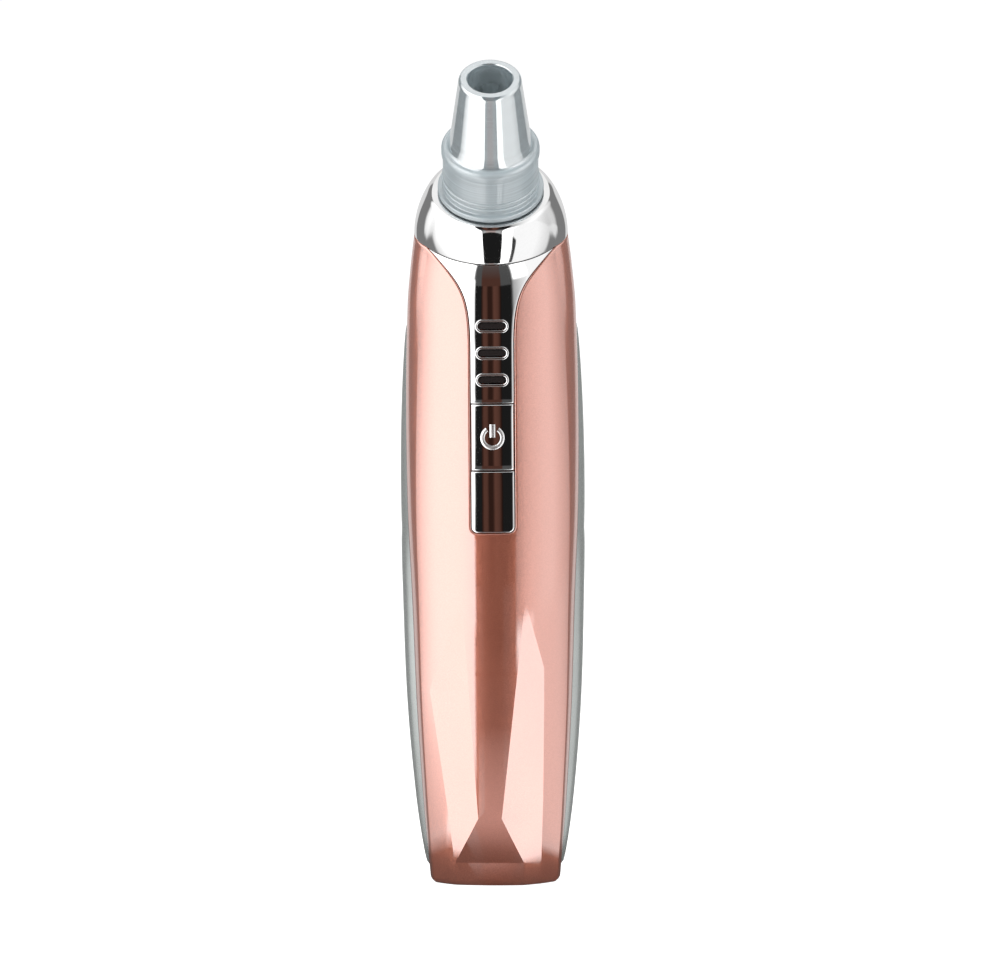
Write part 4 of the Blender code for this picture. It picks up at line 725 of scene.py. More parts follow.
class Canvas:
    """A node tree with short calls that add and feed its nodes."""

    def __init__(self, tree: bpy.types.NodeTree) -> None:
        """Keep the tree and empty it."""
        self.tree = tree
        tree.nodes.clear()

    def add(self, kind: str, feeds: Feeds | None = None, **settings: object) -> Node:
        """Add one node.

        Args:
            kind: the node's type name.
            feeds: what goes into its inputs, by name or number.
            settings: the node's own properties.

        Returns:
            The new node.
        """
        node = self.tree.nodes.new(kind)
        for name, value in settings.items():
            setattr(node, name, value)
        self.feed(node, feeds or {})
        return node

    def feed(self, node: Node, feeds: Feeds) -> None:
        """Fill a node's inputs.

        Args:
            node: the node.
            feeds: a value, an output or a list of outputs for each input, by name or number.
        """
        for name, value in feeds.items():
            if isinstance(value, (Socket, list)):
                for source in value if isinstance(value, list) else [value]:
                    self.tree.links.new(source, node.inputs[name])
            else:
                node.inputs[name].default_value = value

    def maths(self, operation: str, first: object, second: object = 0.0) -> Socket:
        """Return the result of a Math node; each value is a number or an output."""
        return self.add("ShaderNodeMath", {0: first, 1: second}, operation=operation).outputs["Value"]

    def vectors(self, operation: str, feeds: Feeds) -> Socket:
        """Return the result of a Vector Math node."""
        return self.add("ShaderNodeVectorMath", feeds, operation=operation).outputs["Vector"]

    def ramp(self, source: Socket, low: Pair, high: Pair) -> Socket:
        """Map a value from the first pair's range to the second's and return it."""
        names = ("Value", "From Min", "From Max", "To Min", "To Max")
        return self.add("ShaderNodeMapRange", dict(zip(names, (source, *low, *high)))).outputs["Result"]

    def blend(self, factor: Socket, *colours: tuple[float, float, float]) -> Socket:
        """Mix two colours and return the result."""
        node = self.add("ShaderNodeMix", {"Factor": factor}, data_type="RGBA")
        places = [i for i, socket in enumerate(node.inputs) if socket.type == "RGBA"]
        self.feed(node, {i: (*colour, 1.0) for i, colour in zip(places, colours)})
        return next(socket for socket in node.outputs if socket.type == "RGBA")

    def noise(self, vector: Socket, scale: object, detail: float = 2.0) -> Socket:
        """Add a noise texture on a vector and return its value."""
        return self.add("ShaderNodeTexNoise", {"Vector": vector, "Scale": scale, "Detail": detail}).outputs[0]

    def bump(self, height: Socket, depth: float) -> Socket:
        """Return the normal that a height gives; the depth is in metres."""
        return self.add("ShaderNodeBump", {"Height": height, "Distance": depth}).outputs["Normal"]


class Effect:
    """A shader node group that is built once and placed in each finish that needs it."""

    name = "effect"
    inputs: dict[str, float] = {}
    outputs: tuple[str, ...] = ()

    def group(self) -> bpy.types.NodeTree:
        """Return the group, built on its first use."""
        known = bpy.data.node_groups.get(self.name)
        if known is not None:
            return known
        tree = bpy.data.node_groups.new(self.name, "ShaderNodeTree")
        tree.interface.new_socket("Vector", in_out="INPUT", socket_type="NodeSocketVector")
        for name, value in self.inputs.items():
            socket = tree.interface.new_socket(name, in_out="INPUT", socket_type="NodeSocketFloat")
            socket.default_value = value
        for name in self.outputs:
            kind = "NodeSocketVector" if name == "Normal" else "NodeSocketFloat"
            tree.interface.new_socket(name, in_out="OUTPUT", socket_type=kind)
        canvas = Canvas(tree)
        canvas.add("NodeGroupOutput", self.fill(canvas, canvas.add("NodeGroupInput").outputs))
        return tree

    def fill(self, canvas: Canvas, given: Outputs) -> Feeds:
        """Add the group's own nodes.

        Args:
            canvas: the group's node tree.
            given: what its inputs give.

        Returns:
            What goes to each of its outputs.
        """
        raise NotImplementedError

    def place(self, canvas: Canvas, vector: Socket, **values: float) -> Outputs:
        """Put the effect in a finish.

        Args:
            canvas: the finish's node tree.
            vector: the coordinates that the effect reads.
            values: numbers for its inputs, with underscores for spaces.

        Returns:
            The effect's outputs, which the finish uses.
        """
        feeds = {"Vector": vector, **{name.replace("_", " "): value for name, value in values.items()}}
        return canvas.add("ShaderNodeGroup", feeds, node_tree=self.group()).outputs


class FlakeEffect(Effect):
    """Metal flakes in a lacquer: each cell has its own brightness and lean."""

    name = "metal_flakes"
    inputs = {"Scale": 7000.0, "Lean": 0.1}
    outputs = ("Glint", "Normal")

    def fill(self, canvas: Canvas, given: Outputs) -> Feeds:
        """Lean the normal by each cell's random colour and give the cell's brightness."""
        cells = canvas.add("ShaderNodeTexVoronoi", {"Vector": given["Vector"], "Scale": given["Scale"]})
        colour = cells.outputs["Color"]
        centred = canvas.vectors("SUBTRACT", {0: colour, 1: (0.5, 0.5, 0.5)})
        leaned = canvas.vectors("SCALE", {0: centred, "Scale": given["Lean"]})
        surface = canvas.add("ShaderNodeNewGeometry").outputs["Normal"]
        normal = canvas.vectors("NORMALIZE", {0: canvas.vectors("ADD", {0: surface, 1: leaned})})
        glint = canvas.add("ShaderNodeSeparateColor", {"Color": colour}).outputs[0]
        return {"Glint": glint, "Normal": normal}


class HandlingEffect(Effect):
    """Faint smears and dust that make a gloss uneven."""

    name = "handling_marks"
    inputs = {"Scale": 60.0, "Low": 0.02, "High": 0.08}
    outputs = ("Roughness", "Mask")

    def fill(self, canvas: Canvas, given: Outputs) -> Feeds:
        """Mix broad smears with fine dust and map them to a roughness."""
        broad = canvas.noise(given["Vector"], given["Scale"], 4.0)
        fine = canvas.noise(given["Vector"], canvas.maths("MULTIPLY", given["Scale"], 22.0), 2.0)
        both = canvas.maths("ADD", canvas.maths("MULTIPLY", broad, 0.7), canvas.maths("MULTIPLY", fine, 0.3))
        mask = canvas.ramp(both, (0.35, 0.65), (0.0, 1.0))
        span = canvas.maths("SUBTRACT", given["High"], given["Low"])
        rough = canvas.maths("ADD", given["Low"], canvas.maths("MULTIPLY", mask, span))
        return {"Roughness": rough, "Mask": mask}


class MouldingEffect(Effect):
    """The fine eroded texture of a plastic mould, with slow flow marks."""

    name = "moulding_texture"
    inputs = {"Grain Scale": 2600.0, "Flow Scale": 90.0}
    outputs = ("Height", "Shade")

    def fill(self, canvas: Canvas, given: Outputs) -> Feeds:
        """Give a grain for the bump and a slow shade for the colour."""
        grain = canvas.noise(given["Vector"], given["Grain Scale"], 3.0)
        flow = canvas.noise(given["Vector"], given["Flow Scale"], 2.0)
        return {"Height": grain, "Shade": canvas.ramp(flow, (0.3, 0.7), (0.0, 1.0))}


class LathedEffect(Effect):
    """Fine tool lines around an upright axis, as on turned or drawn metal."""

    name = "lathe_lines"
    inputs = {"Scale": 9000.0}
    outputs = ("Height", "Shade")

    def fill(self, canvas: Canvas, given: Outputs) -> Feeds:
        """Squeeze a noise along the axis into lines."""
        squeeze = canvas.add("ShaderNodeMapping", {"Vector": given["Vector"], "Scale": (0.02, 0.02, 1.0)})
        lines = canvas.noise(squeeze.outputs["Vector"], given["Scale"], 3.0)
        return {"Height": lines, "Shade": canvas.ramp(lines, (0.3, 0.7), (0.0, 1.0))}


class PoreShadeEffect(Effect):
    """Open pores of a foam, with a mask that paints shade into them."""

    name = "foam_pores_painted_shade"
    inputs = {"Scale": 1800.0}
    outputs = ("Height", "Mask")

    def fill(self, canvas: Canvas, given: Outputs) -> Feeds:
        """Use the distance to each cell's middle as the pore's depth, and as the mask of the shade painted in
        the pores.
        """
        cells = canvas.add("ShaderNodeTexVoronoi", {"Vector": given["Vector"], "Scale": given["Scale"]})
        depth = cells.outputs["Distance"]
        # The mask is 0 in the middle of each pore, where the foam's colour gets its painted shade.
        return {"Height": depth, "Mask": canvas.ramp(depth, (0.1, 0.6), (0.0, 1.0))}


class TrackEffect(Effect):
    """Copper tracks under the lacquer of a circuit board."""

    name = "board_tracks"
    inputs = {"Scale": 420.0}
    outputs = ("Mask",)

    def fill(self, canvas: Canvas, given: Outputs) -> Feeds:
        """Draw square-cornered tracks from the edges of square cells."""
        feeds = {"Vector": given["Vector"], "Scale": given["Scale"], "Randomness": 0.6}
        cells = canvas.add("ShaderNodeTexVoronoi", feeds, distance="CHEBYCHEV", feature="F2")
        return {"Mask": canvas.ramp(cells.outputs["Distance"], (0.60, 0.66), (0.0, 1.0))}


@dataclass(frozen=True)
class Finish:
    """A finish of the device: a colour, how rough it is and what it is made of."""

    name: str
    colour: tuple[float, float, float]
    roughness: float = 0.4
    metallic: float = 0.0

    def material(self) -> bpy.types.Material:
        """Return the finish's material, built on its first use."""
        known = bpy.data.materials.get("finish_" + self.name)
        if known is not None:
            return known
        made, canvas = new_material("finish_" + self.name)
        shader = canvas.add("ShaderNodeBsdfPrincipled")
        canvas.add("ShaderNodeOutputMaterial", {"Surface": shader.outputs["BSDF"]})
        plain = {"Metallic": self.metallic, "Roughness": self.roughness, "Base Color": (*self.colour, 1.0)}
        canvas.feed(shader, plain)
        canvas.feed(shader, self.dress(canvas, canvas.add("ShaderNodeTexCoord").outputs["Object"]))
        return made

    def dress(self, canvas: Canvas, vector: Socket) -> Feeds:
        """Add the nodes of the finish's own detail.

        Args:
            canvas: the material's node tree.
            vector: the piece's Object coordinates.

        Returns:
            What goes into the Principled shader, by input.
        """
        raise NotImplementedError

    def tint(self, canvas: Canvas, mask: Socket, low: float, high: float) -> Socket:
        """Return the finish's colour times one factor where the mask is 0 and another where it is 1."""
        shades = [tuple(min(part * factor, 1.0) for part in self.colour) for factor in (low, high)]
        return canvas.blend(mask, *shades)

    def uneven(self, canvas: Canvas, mask: Socket, low: float, high: float) -> Socket:
        """Return the finish's roughness with one number added at mask 0 and another at mask 1."""
        return canvas.ramp(mask, (0.0, 1.0), (self.roughness + low, self.roughness + high))


@dataclass(frozen=True)
class LacquerFinish(Finish):
    """Metallic lacquer under a clear coat."""

    flake_scale: float = 6500.0
    flake_lean: float = 0.16
    coat: float = 1.0
    coat_roughness: float = 0.02
    coat_ior: float = 1.6

    def dress(self, canvas: Canvas, vector: Socket) -> Feeds:
        """Add flakes below and an almost even clear coat above."""
        flakes = FlakeEffect().place(canvas, vector, Scale=self.flake_scale, Lean=self.flake_lean)
        low, high = self.roughness - 0.02, self.roughness + 0.03
        return {
            "Normal": flakes["Normal"],
            "Base Color": self.tint(canvas, flakes["Glint"], 0.93, 1.07),
            "Roughness": HandlingEffect().place(canvas, vector, Scale=70.0, Low=low, High=high)["Roughness"],
            "Coat Weight": self.coat, "Coat Roughness": self.coat_roughness, "Coat IOR": self.coat_ior,
        }


@dataclass(frozen=True)
class PlatingFinish(Finish):
    """Bright plating on plastic, with a slow waviness and faint handling marks."""

    wave_scale: float = 160.0
    wave: float = 0.00002

    def dress(self, canvas: Canvas, vector: Socket) -> Feeds:
        """Add the marks to the gloss and the waviness to the surface."""
        low, high = self.roughness, self.roughness + 0.03
        marks = HandlingEffect().place(canvas, vector, Scale=90.0, Low=low, High=high)
        return {
            "Roughness": marks["Roughness"],
            "Base Color": self.tint(canvas, marks["Mask"], 1.02, 0.97),
            "Normal": canvas.bump(canvas.noise(vector, self.wave_scale, 1.0), self.wave),
        }


@dataclass(frozen=True)
class ClearFinish(Finish):
    """Clear or smoked plastic that lets some light through."""

    transmission: float = 0.6
    ior: float = 1.49
    depth: float = 0.000004

    def dress(self, canvas: Canvas, vector: Socket) -> Feeds:
        """Add flow marks to the colour and a faint moulding texture."""
        mould = MouldingEffect().place(canvas, vector, Grain_Scale=1400.0, Flow_Scale=140.0)
        low, high = self.roughness, self.roughness + 0.05
        return {
            "Transmission Weight": self.transmission, "IOR": self.ior,
            "Base Color": self.tint(canvas, mould["Shade"], 0.94, 1.05),
            "Roughness": HandlingEffect().place(canvas, vector, Scale=120.0, Low=low, High=high)["Roughness"],
            "Normal": canvas.bump(mould["Height"], self.depth),
        }


@dataclass(frozen=True)
class HeadFinish(ClearFinish):
    """Clear plastic turned around the nose's axis: a milky collar under a glossy, finely ringed cone."""

    collar_top: float = COLLAR_TOP
    collar_fade: float = 0.0008
    collar_roughness: float = 0.5
    collar_gloss: float = 0.12
    gloss_ior: float = 4.0

    def dress(self, canvas: Canvas, vector: Socket) -> Feeds:
        """Add the rings to the colour, and the gloss above the collar."""
        feeds = {"Vector": vector, "Rotation": (-NoseForm().tilt, 0.0, 0.0)}
        upright = canvas.add("ShaderNodeMapping", feeds).outputs["Vector"]
        rings = LathedEffect().place(canvas, upright, Scale=2600.0)
        height = canvas.add("ShaderNodeSeparateXYZ", {"Vector": upright}).outputs["Z"]
        fade = (self.collar_top, self.collar_top + self.collar_fade)
        return {
            **super().dress(canvas, vector),
            "Base Color": self.tint(canvas, rings["Shade"], 0.78, 1.18),
            "Coat Weight": canvas.ramp(height, fade, (self.collar_gloss, 1.0)),
            "Roughness": canvas.ramp(height, fade, (self.collar_roughness, self.roughness)),
            "Coat IOR": self.gloss_ior, "Coat Roughness": 0.03,
        }


@dataclass(frozen=True)
class MouldedFinish(Finish):
    """Plain moulded plastic, rubber or wire insulation."""

    grain: float = 2600.0
    depth: float = 0.00001

    def dress(self, canvas: Canvas, vector: Socket) -> Feeds:
        """Add the mould's grain and flow marks."""
        mould = MouldingEffect().place(canvas, vector, Grain_Scale=self.grain, Flow_Scale=110.0)
        return {
            "Base Color": self.tint(canvas, mould["Shade"], 0.9, 1.08),
            "Roughness": self.uneven(canvas, mould["Shade"], -0.05, 0.08),
            "Normal": canvas.bump(mould["Height"], self.depth),
        }


@dataclass(frozen=True)
class TurnedMetalFinish(Finish):
    """Drawn or turned metal with fine tool lines."""

    depth: float = 0.000006

    def dress(self, canvas: Canvas, vector: Socket) -> Feeds:
        """Add the tool lines to colour, gloss and surface."""
        lines = LathedEffect().place(canvas, vector, Scale=9000.0)
        return {
            "Base Color": self.tint(canvas, lines["Shade"], 0.88, 1.08),
            "Roughness": self.uneven(canvas, lines["Shade"], -0.06, 0.1),
            "Normal": canvas.bump(lines["Height"], self.depth),
        }


@dataclass(frozen=True)
class FoamFinish(Finish):
    """Open foam, with painted shade in its pores."""

    depth: float = 0.0002

    def dress(self, canvas: Canvas, vector: Socket) -> Feeds:
        """Paint shade into the pores by darkening them, and deepen them with a bump."""
        pores = PoreShadeEffect().place(canvas, vector, Scale=1800.0)
        # painted shade: the pores' middles are darkened to 0.35 of the foam's colour, the rest lifted to 1.1
        shade = self.tint(canvas, pores["Mask"], 0.35, 1.1)
        return {"Base Color": shade, "Normal": canvas.bump(pores["Height"], self.depth)}


@dataclass(frozen=True)
class BoardFinish(Finish):
    """A lacquered circuit board."""

    track: tuple[float, float, float] = (0.06, 0.30, 0.12)
    depth: float = 0.00003

    def dress(self, canvas: Canvas, vector: Socket) -> Feeds:
        """Show the tracks through the lacquer."""
        mask = TrackEffect().place(canvas, vector, Scale=420.0)["Mask"]
        return {
            "Base Color": canvas.blend(mask, self.colour, self.track),
            "Normal": canvas.bump(mask, self.depth),
            "Roughness": self.uneven(canvas, mask, 0.0, -0.12),
        }


FINISHES: dict[str, Finish] = {
    "rose_paint": LacquerFinish("rose_paint", (0.56, 0.185, 0.118), 0.30, 0.82, coat_ior=3.0),
    "chrome": PlatingFinish("chrome", (0.86, 0.86, 0.86), 0.03, 1.0),
    "satin_chrome": PlatingFinish("satin_chrome", (0.92, 0.92, 0.92), 0.34, 1.0),
    "silver": PlatingFinish("silver", (0.41, 0.43, 0.42), 0.2, 0.75, wave=0.00006),
    "smoke": ClearFinish("smoke", (0.012, 0.010, 0.010), 0.08, 0.0, transmission=0.1, ior=1.5),
    "clear_head": HeadFinish("clear_head", (0.36, 0.43, 0.46), 0.12, 0.0, transmission=0.55, ior=2.4),
    "white_plastic": MouldedFinish("white_plastic", (0.70, 0.71, 0.69), 0.42, 0.0),
    "black_plastic": MouldedFinish("black_plastic", (0.025, 0.025, 0.027), 0.48, 0.0),
    "steel": TurnedMetalFinish("steel", (0.56, 0.56, 0.57), 0.28, 1.0),
    "rubber": MouldedFinish("rubber", (0.045, 0.045, 0.047), 0.72, 0.0, grain=1500.0, depth=0.00003),
    "silicone": MouldedFinish("silicone", (0.46, 0.50, 0.40), 0.38, 0.0),
    "foam": FoamFinish("foam", (0.62, 0.62, 0.58), 0.95, 0.0),
    "board": BoardFinish("board", (0.02, 0.15, 0.06), 0.38, 0.0),
    "ferrite": MouldedFinish("ferrite", (0.10, 0.10, 0.105), 0.55, 0.2, grain=3200.0, depth=0.00003),
    "cell_wrap": MouldedFinish("cell_wrap", (0.035, 0.13, 0.42), 0.3, 0.0),
    "red_lead": MouldedFinish("red_lead", (0.5, 0.025, 0.02), 0.4, 0.0),
    "black_lead": MouldedFinish("black_lead", (0.018, 0.018, 0.018), 0.4, 0.0),
}


# Node trees that make what is turned, swept or repeated


class ShapeTree:
    """A Geometry Nodes tree with named inputs, applied to a guide mesh and baked."""

    name = "shape"
    inputs: dict[str, str] = {}

    def tree(self) -> tuple[bpy.types.NodeTree, dict[str, str]]:
        """Return the tree, built on its first use, and the identifier of each input."""
        tree = bpy.data.node_groups.get(self.name)
        if tree is None:
            tree = bpy.data.node_groups.new(self.name, "GeometryNodeTree")
            for name, kind in (("Guide", "Geometry"), *self.inputs.items(), ("Finish", "Material")):
                tree.interface.new_socket(name, in_out="INPUT", socket_type="NodeSocket" + kind)
            tree.interface.new_socket("Shape", in_out="OUTPUT", socket_type="NodeSocketGeometry")
            canvas = Canvas(tree)
            given = canvas.add("NodeGroupInput").outputs
            whole = canvas.add("GeometryNodeRealizeInstances", {"Geometry": self.fill(canvas, given)})
            feeds = {"Geometry": whole.outputs["Geometry"], "Material": given["Finish"]}
            paint = canvas.add("GeometryNodeSetMaterial", feeds)
            canvas.add("NodeGroupOutput", {"Shape": paint.outputs["Geometry"]})
        given = [item for item in tree.interface.items_tree if item.in_out == "INPUT"]
        return tree, {item.name: item.identifier for item in given}

    def fill(self, canvas: Canvas, given: Outputs) -> Socket:
        """Add the tree's own nodes.

        Args:
            canvas: the tree.
            given: what its inputs give.

        Returns:
            The output that holds the shape.
        """
        raise NotImplementedError

    def make(
        self, name: str, points: Sequence[Vector], edges: Sequence[Pair], finish: str,
        sharp: float = 35.0, **values: float,
    ) -> Item:
        """Run the tree on a guide of points and edges.

        Args:
            name: the piece's name.
            points: the guide's points in metres.
            edges: pairs of point numbers.
            finish: the finish that the tree sets.
            sharp: edges that turn more than this many degrees stay sharp.
            values: the tree's inputs, with underscores for spaces.

        Returns:
            The baked piece.
        """
        mesh = bpy.data.meshes.new(name)
        mesh.from_pydata([tuple(point) for point in points], [tuple(edge) for edge in edges], [])
        item = new_item(name, mesh)
        tree, sockets = self.tree()
        modifier = item.modifiers.new("shape", "NODES")
        modifier.node_group = tree
        for key, value in values.items():
            modifier[sockets[key.replace("_", " ")]] = value
        modifier[sockets["Finish"]] = FINISHES[finish].material()
        bake(item)
        clean(item, sharp)
        return item

    def swept(self, canvas: Canvas, path: Socket, outline: Socket) -> Socket:
        """Return an outline swept along a path."""
        feeds = {"Curve": path, "Profile Curve": outline}
        return canvas.add("GeometryNodeCurveToMesh", feeds).outputs["Mesh"]

    def guide(self, canvas: Canvas, given: Outputs) -> Socket:
        """Return the guide as a curve."""
        return canvas.add("GeometryNodeMeshToCurve", {"Mesh": given["Guide"]}).outputs["Curve"]


class TurningTree(ShapeTree):
    """Turn a closed outline around the Z axis."""

    name = "turning"
    inputs = {"Segments": "Int", "Core Radius": "Float"}

    def fill(self, canvas: Canvas, given: Outputs) -> Socket:
        """Sweep the outline, drawn from the core's radius outwards, around the core's circle."""
        feeds = {"Resolution": given["Segments"], "Radius": given["Core Radius"]}
        core = canvas.add("GeometryNodeCurvePrimitiveCircle", feeds).outputs["Curve"]
        shape = self.swept(canvas, core, self.guide(canvas, given))
        weld = canvas.add("GeometryNodeMergeByDistance", {"Geometry": shape, "Distance": 1e-7})
        return weld.outputs["Geometry"]

    def turned(
        self, name: str, outline: Sequence[Pair], finish: str, place: Matrix, segments: int = 96,
        sharp: float = 35.0,
    ) -> Item:
        """Turn an outline and put the result in its place.

        Args:
            name: the piece's name.
            outline: its section as (radius, height) in millimetres.
            finish: the finish that the tree sets.
            place: the matrix of the axis.
            segments: how many flat sides the turning has.
            sharp: edges that turn more than this many degrees stay sharp.

        Returns:
            The turned piece.
        """
        core = 1.0
        points = [Vector(((radius - core) * MM, -height * MM, 0.0)) for radius, height in outline]
        edges = [(i, (i + 1) % len(points)) for i in range(len(points))]
        item = self.make(name, points, edges, finish, sharp, Segments=segments, Core_Radius=core * MM)
        item.data.transform(place)
        return item


class BeadTree(ShapeTree):
    """Lay a flattened bead along a path."""

    name = "bead"
    inputs = {"Width": "Float", "Height": "Float", "Sides": "Int"}

    def fill(self, canvas: Canvas, given: Outputs) -> Socket:
        """Sweep a circle, scaled to the width and height, along the guide."""
        circle = canvas.add("GeometryNodeCurvePrimitiveCircle", {"Resolution": given["Sides"], "Radius": 0.5})
        size = canvas.add("ShaderNodeCombineXYZ", {"X": given["Width"], "Y": given["Height"]})
        feeds = {"Geometry": circle.outputs["Curve"], "Scale": size.outputs["Vector"]}
        outline = canvas.add("GeometryNodeTransform", feeds).outputs["Geometry"]
        return self.swept(canvas, self.guide(canvas, given), outline)


class ScrewTree(ShapeTree):
    """Set a cross-head screw at each point, along Z with its tip at the point."""

    name = "screws"
    inputs = dict.fromkeys(("Shank Radius", "Shank Length", "Head Radius", "Head Height", "Turn"), "Float")

    def lifted(self, canvas: Canvas, shape: Socket, height: Socket) -> Socket:
        """Return a shape moved up to a height."""
        lift = canvas.add("ShaderNodeCombineXYZ", {"Z": height}).outputs["Vector"]
        feeds = {"Geometry": shape, "Translation": lift}
        return canvas.add("GeometryNodeTransform", feeds).outputs["Geometry"]

    def cylinder(self, canvas: Canvas, sides: int, radius: Socket, depth: Socket, middle: Socket) -> Socket:
        """Return an upright cylinder with its middle at a height."""
        feeds = {"Vertices": sides, "Radius": radius, "Depth": depth}
        return self.lifted(canvas, canvas.add("GeometryNodeMeshCylinder", feeds).outputs["Mesh"], middle)

    def bar(self, canvas: Canvas, given: Outputs, long_axis: str, middle: Socket) -> Socket:
        """Return one bar of the cross recess, along X or Y."""
        long, narrow = (canvas.maths("MULTIPLY", given["Head Radius"], share) for share in (1.2, 0.28))
        sides = {"X": narrow, "Y": narrow, long_axis: long, "Z": given["Head Height"]}
        size = canvas.add("ShaderNodeCombineXYZ", sides).outputs["Vector"]
        return self.lifted(canvas, canvas.add("GeometryNodeMeshCube", {"Size": size}).outputs["Mesh"], middle)

    def fill(self, canvas: Canvas, given: Outputs) -> Socket:
        """Build the screw from shank, head and recess, and instance it on the guide's points."""
        length, height = given["Shank Length"], given["Head Height"]
        shank_middle = canvas.maths("MULTIPLY", length, 0.5)
        head_middle = canvas.maths("ADD", length, canvas.maths("MULTIPLY", height, 0.5))
        recess = canvas.maths("ADD", length, canvas.maths("MULTIPLY", height, 1.1))
        shank = self.cylinder(canvas, 20, given["Shank Radius"], length, shank_middle)
        head = self.cylinder(canvas, 32, given["Head Radius"], height, head_middle)
        feeds = {"Mesh 1": head, "Mesh 2": [self.bar(canvas, given, axis, recess) for axis in "XY"]}
        cross = canvas.add("GeometryNodeMeshBoolean", feeds, operation="DIFFERENCE", solver="EXACT")
        whole = canvas.add("GeometryNodeJoinGeometry", {"Geometry": [shank, cross.outputs["Mesh"]]})
        turn = canvas.add("ShaderNodeCombineXYZ", {"X": given["Turn"]})
        places = canvas.add("GeometryNodeInstanceOnPoints", {
            "Points": given["Guide"], "Instance": whole.outputs["Geometry"],
            "Rotation": turn.outputs["Vector"],
        })
        return places.outputs["Instances"]


# Sub-assemblies


def settle(
    item: Item, body: str, slot: str, *nodes: str, finish: str = "",
) -> Item:
    """Dress a finished piece and tie it to the frame.

    Args:
        item: the piece.
        body: the body that it moves with.
        slot: the slot that it takes its finish from.
        nodes: the nodes that it stands for.
        finish: the finish's name, where it isn't the slot's own.

    Returns:
        The piece.
    """
    item.data.materials.clear()
    item.data.materials.append(FINISHES[finish or slot].material())
    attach(item, body)
    if nodes:
        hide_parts(*nodes)
    LOG.info("%s: %s, on %s", item.name, finish or slot, body)
    return item


@dataclass(frozen=True, eq=False)
class CutForm:
    """The flat cuts on one side of the lower front, as (x, z) corners seen from the front."""

    foot: tuple[Pair, ...]
    inner: tuple[Pair, ...]
    outer: tuple[Pair, ...]
    base_share: float = 0.65

    def across(self, line: Sequence[Pair], z: float) -> float:
        """Return x of a line at height z, held at its ends."""
        if z <= line[0][1]:
            return line[0][0]
        for (x0, z0), (x1, z1) in zip(line, line[1:]):
            if z <= z1:
                return x0 + (x1 - x0) * (z - z0) / (z1 - z0)
        return line[-1][0]

    def bottom(self) -> float:
        """Return the height at which the cuts start."""
        return self.foot[0][1]

    def waist(self) -> float:
        """Return the height up to which the foot's cut and the side's cut share an edge."""
        return self.inner[0][1]

    def top(self) -> float:
        """Return the height at which the side's cut ends in a point."""
        return self.inner[-1][1]

    def share(self, z: float) -> float:
        """Return how flat the cuts are at a height; they fade below their lowest corners."""
        if z > self.top() + 1e-4:
            return 0.0
        return self.base_share + (1.0 - self.base_share) * min(max(z / self.bottom(), 0.0), 1.0)

    def edge_lines(self) -> list[tuple[Pair, Pair]]:
        """Return every straight edge of the cuts."""
        return [(a, b) for line in (self.foot, self.inner, self.outer) for a, b in zip(line, line[1:])]


LEFT_CUT = CutForm(
    foot=((9.25, 5.6), (3.88, 16.45), (0.0, 20.6)),
    inner=((3.88, 16.45), (7.2, 67.2)),
    outer=((9.4, 5.6), (10.55, 15.75), (12.28, 28.6), (14.46, 43.5), (14.8, 46.0), (7.2, 67.2)),
)
RIGHT_CUT = CutForm(
    foot=((6.6, 5.6), (1.51, 16.47), (0.0, 20.6)),
    inner=((1.51, 16.47), (7.2, 67.2)),
    outer=((10.56, 5.6), (11.06, 20.3), (11.42, 43.7), (11.46, 51.2), (7.2, 67.2)),
)


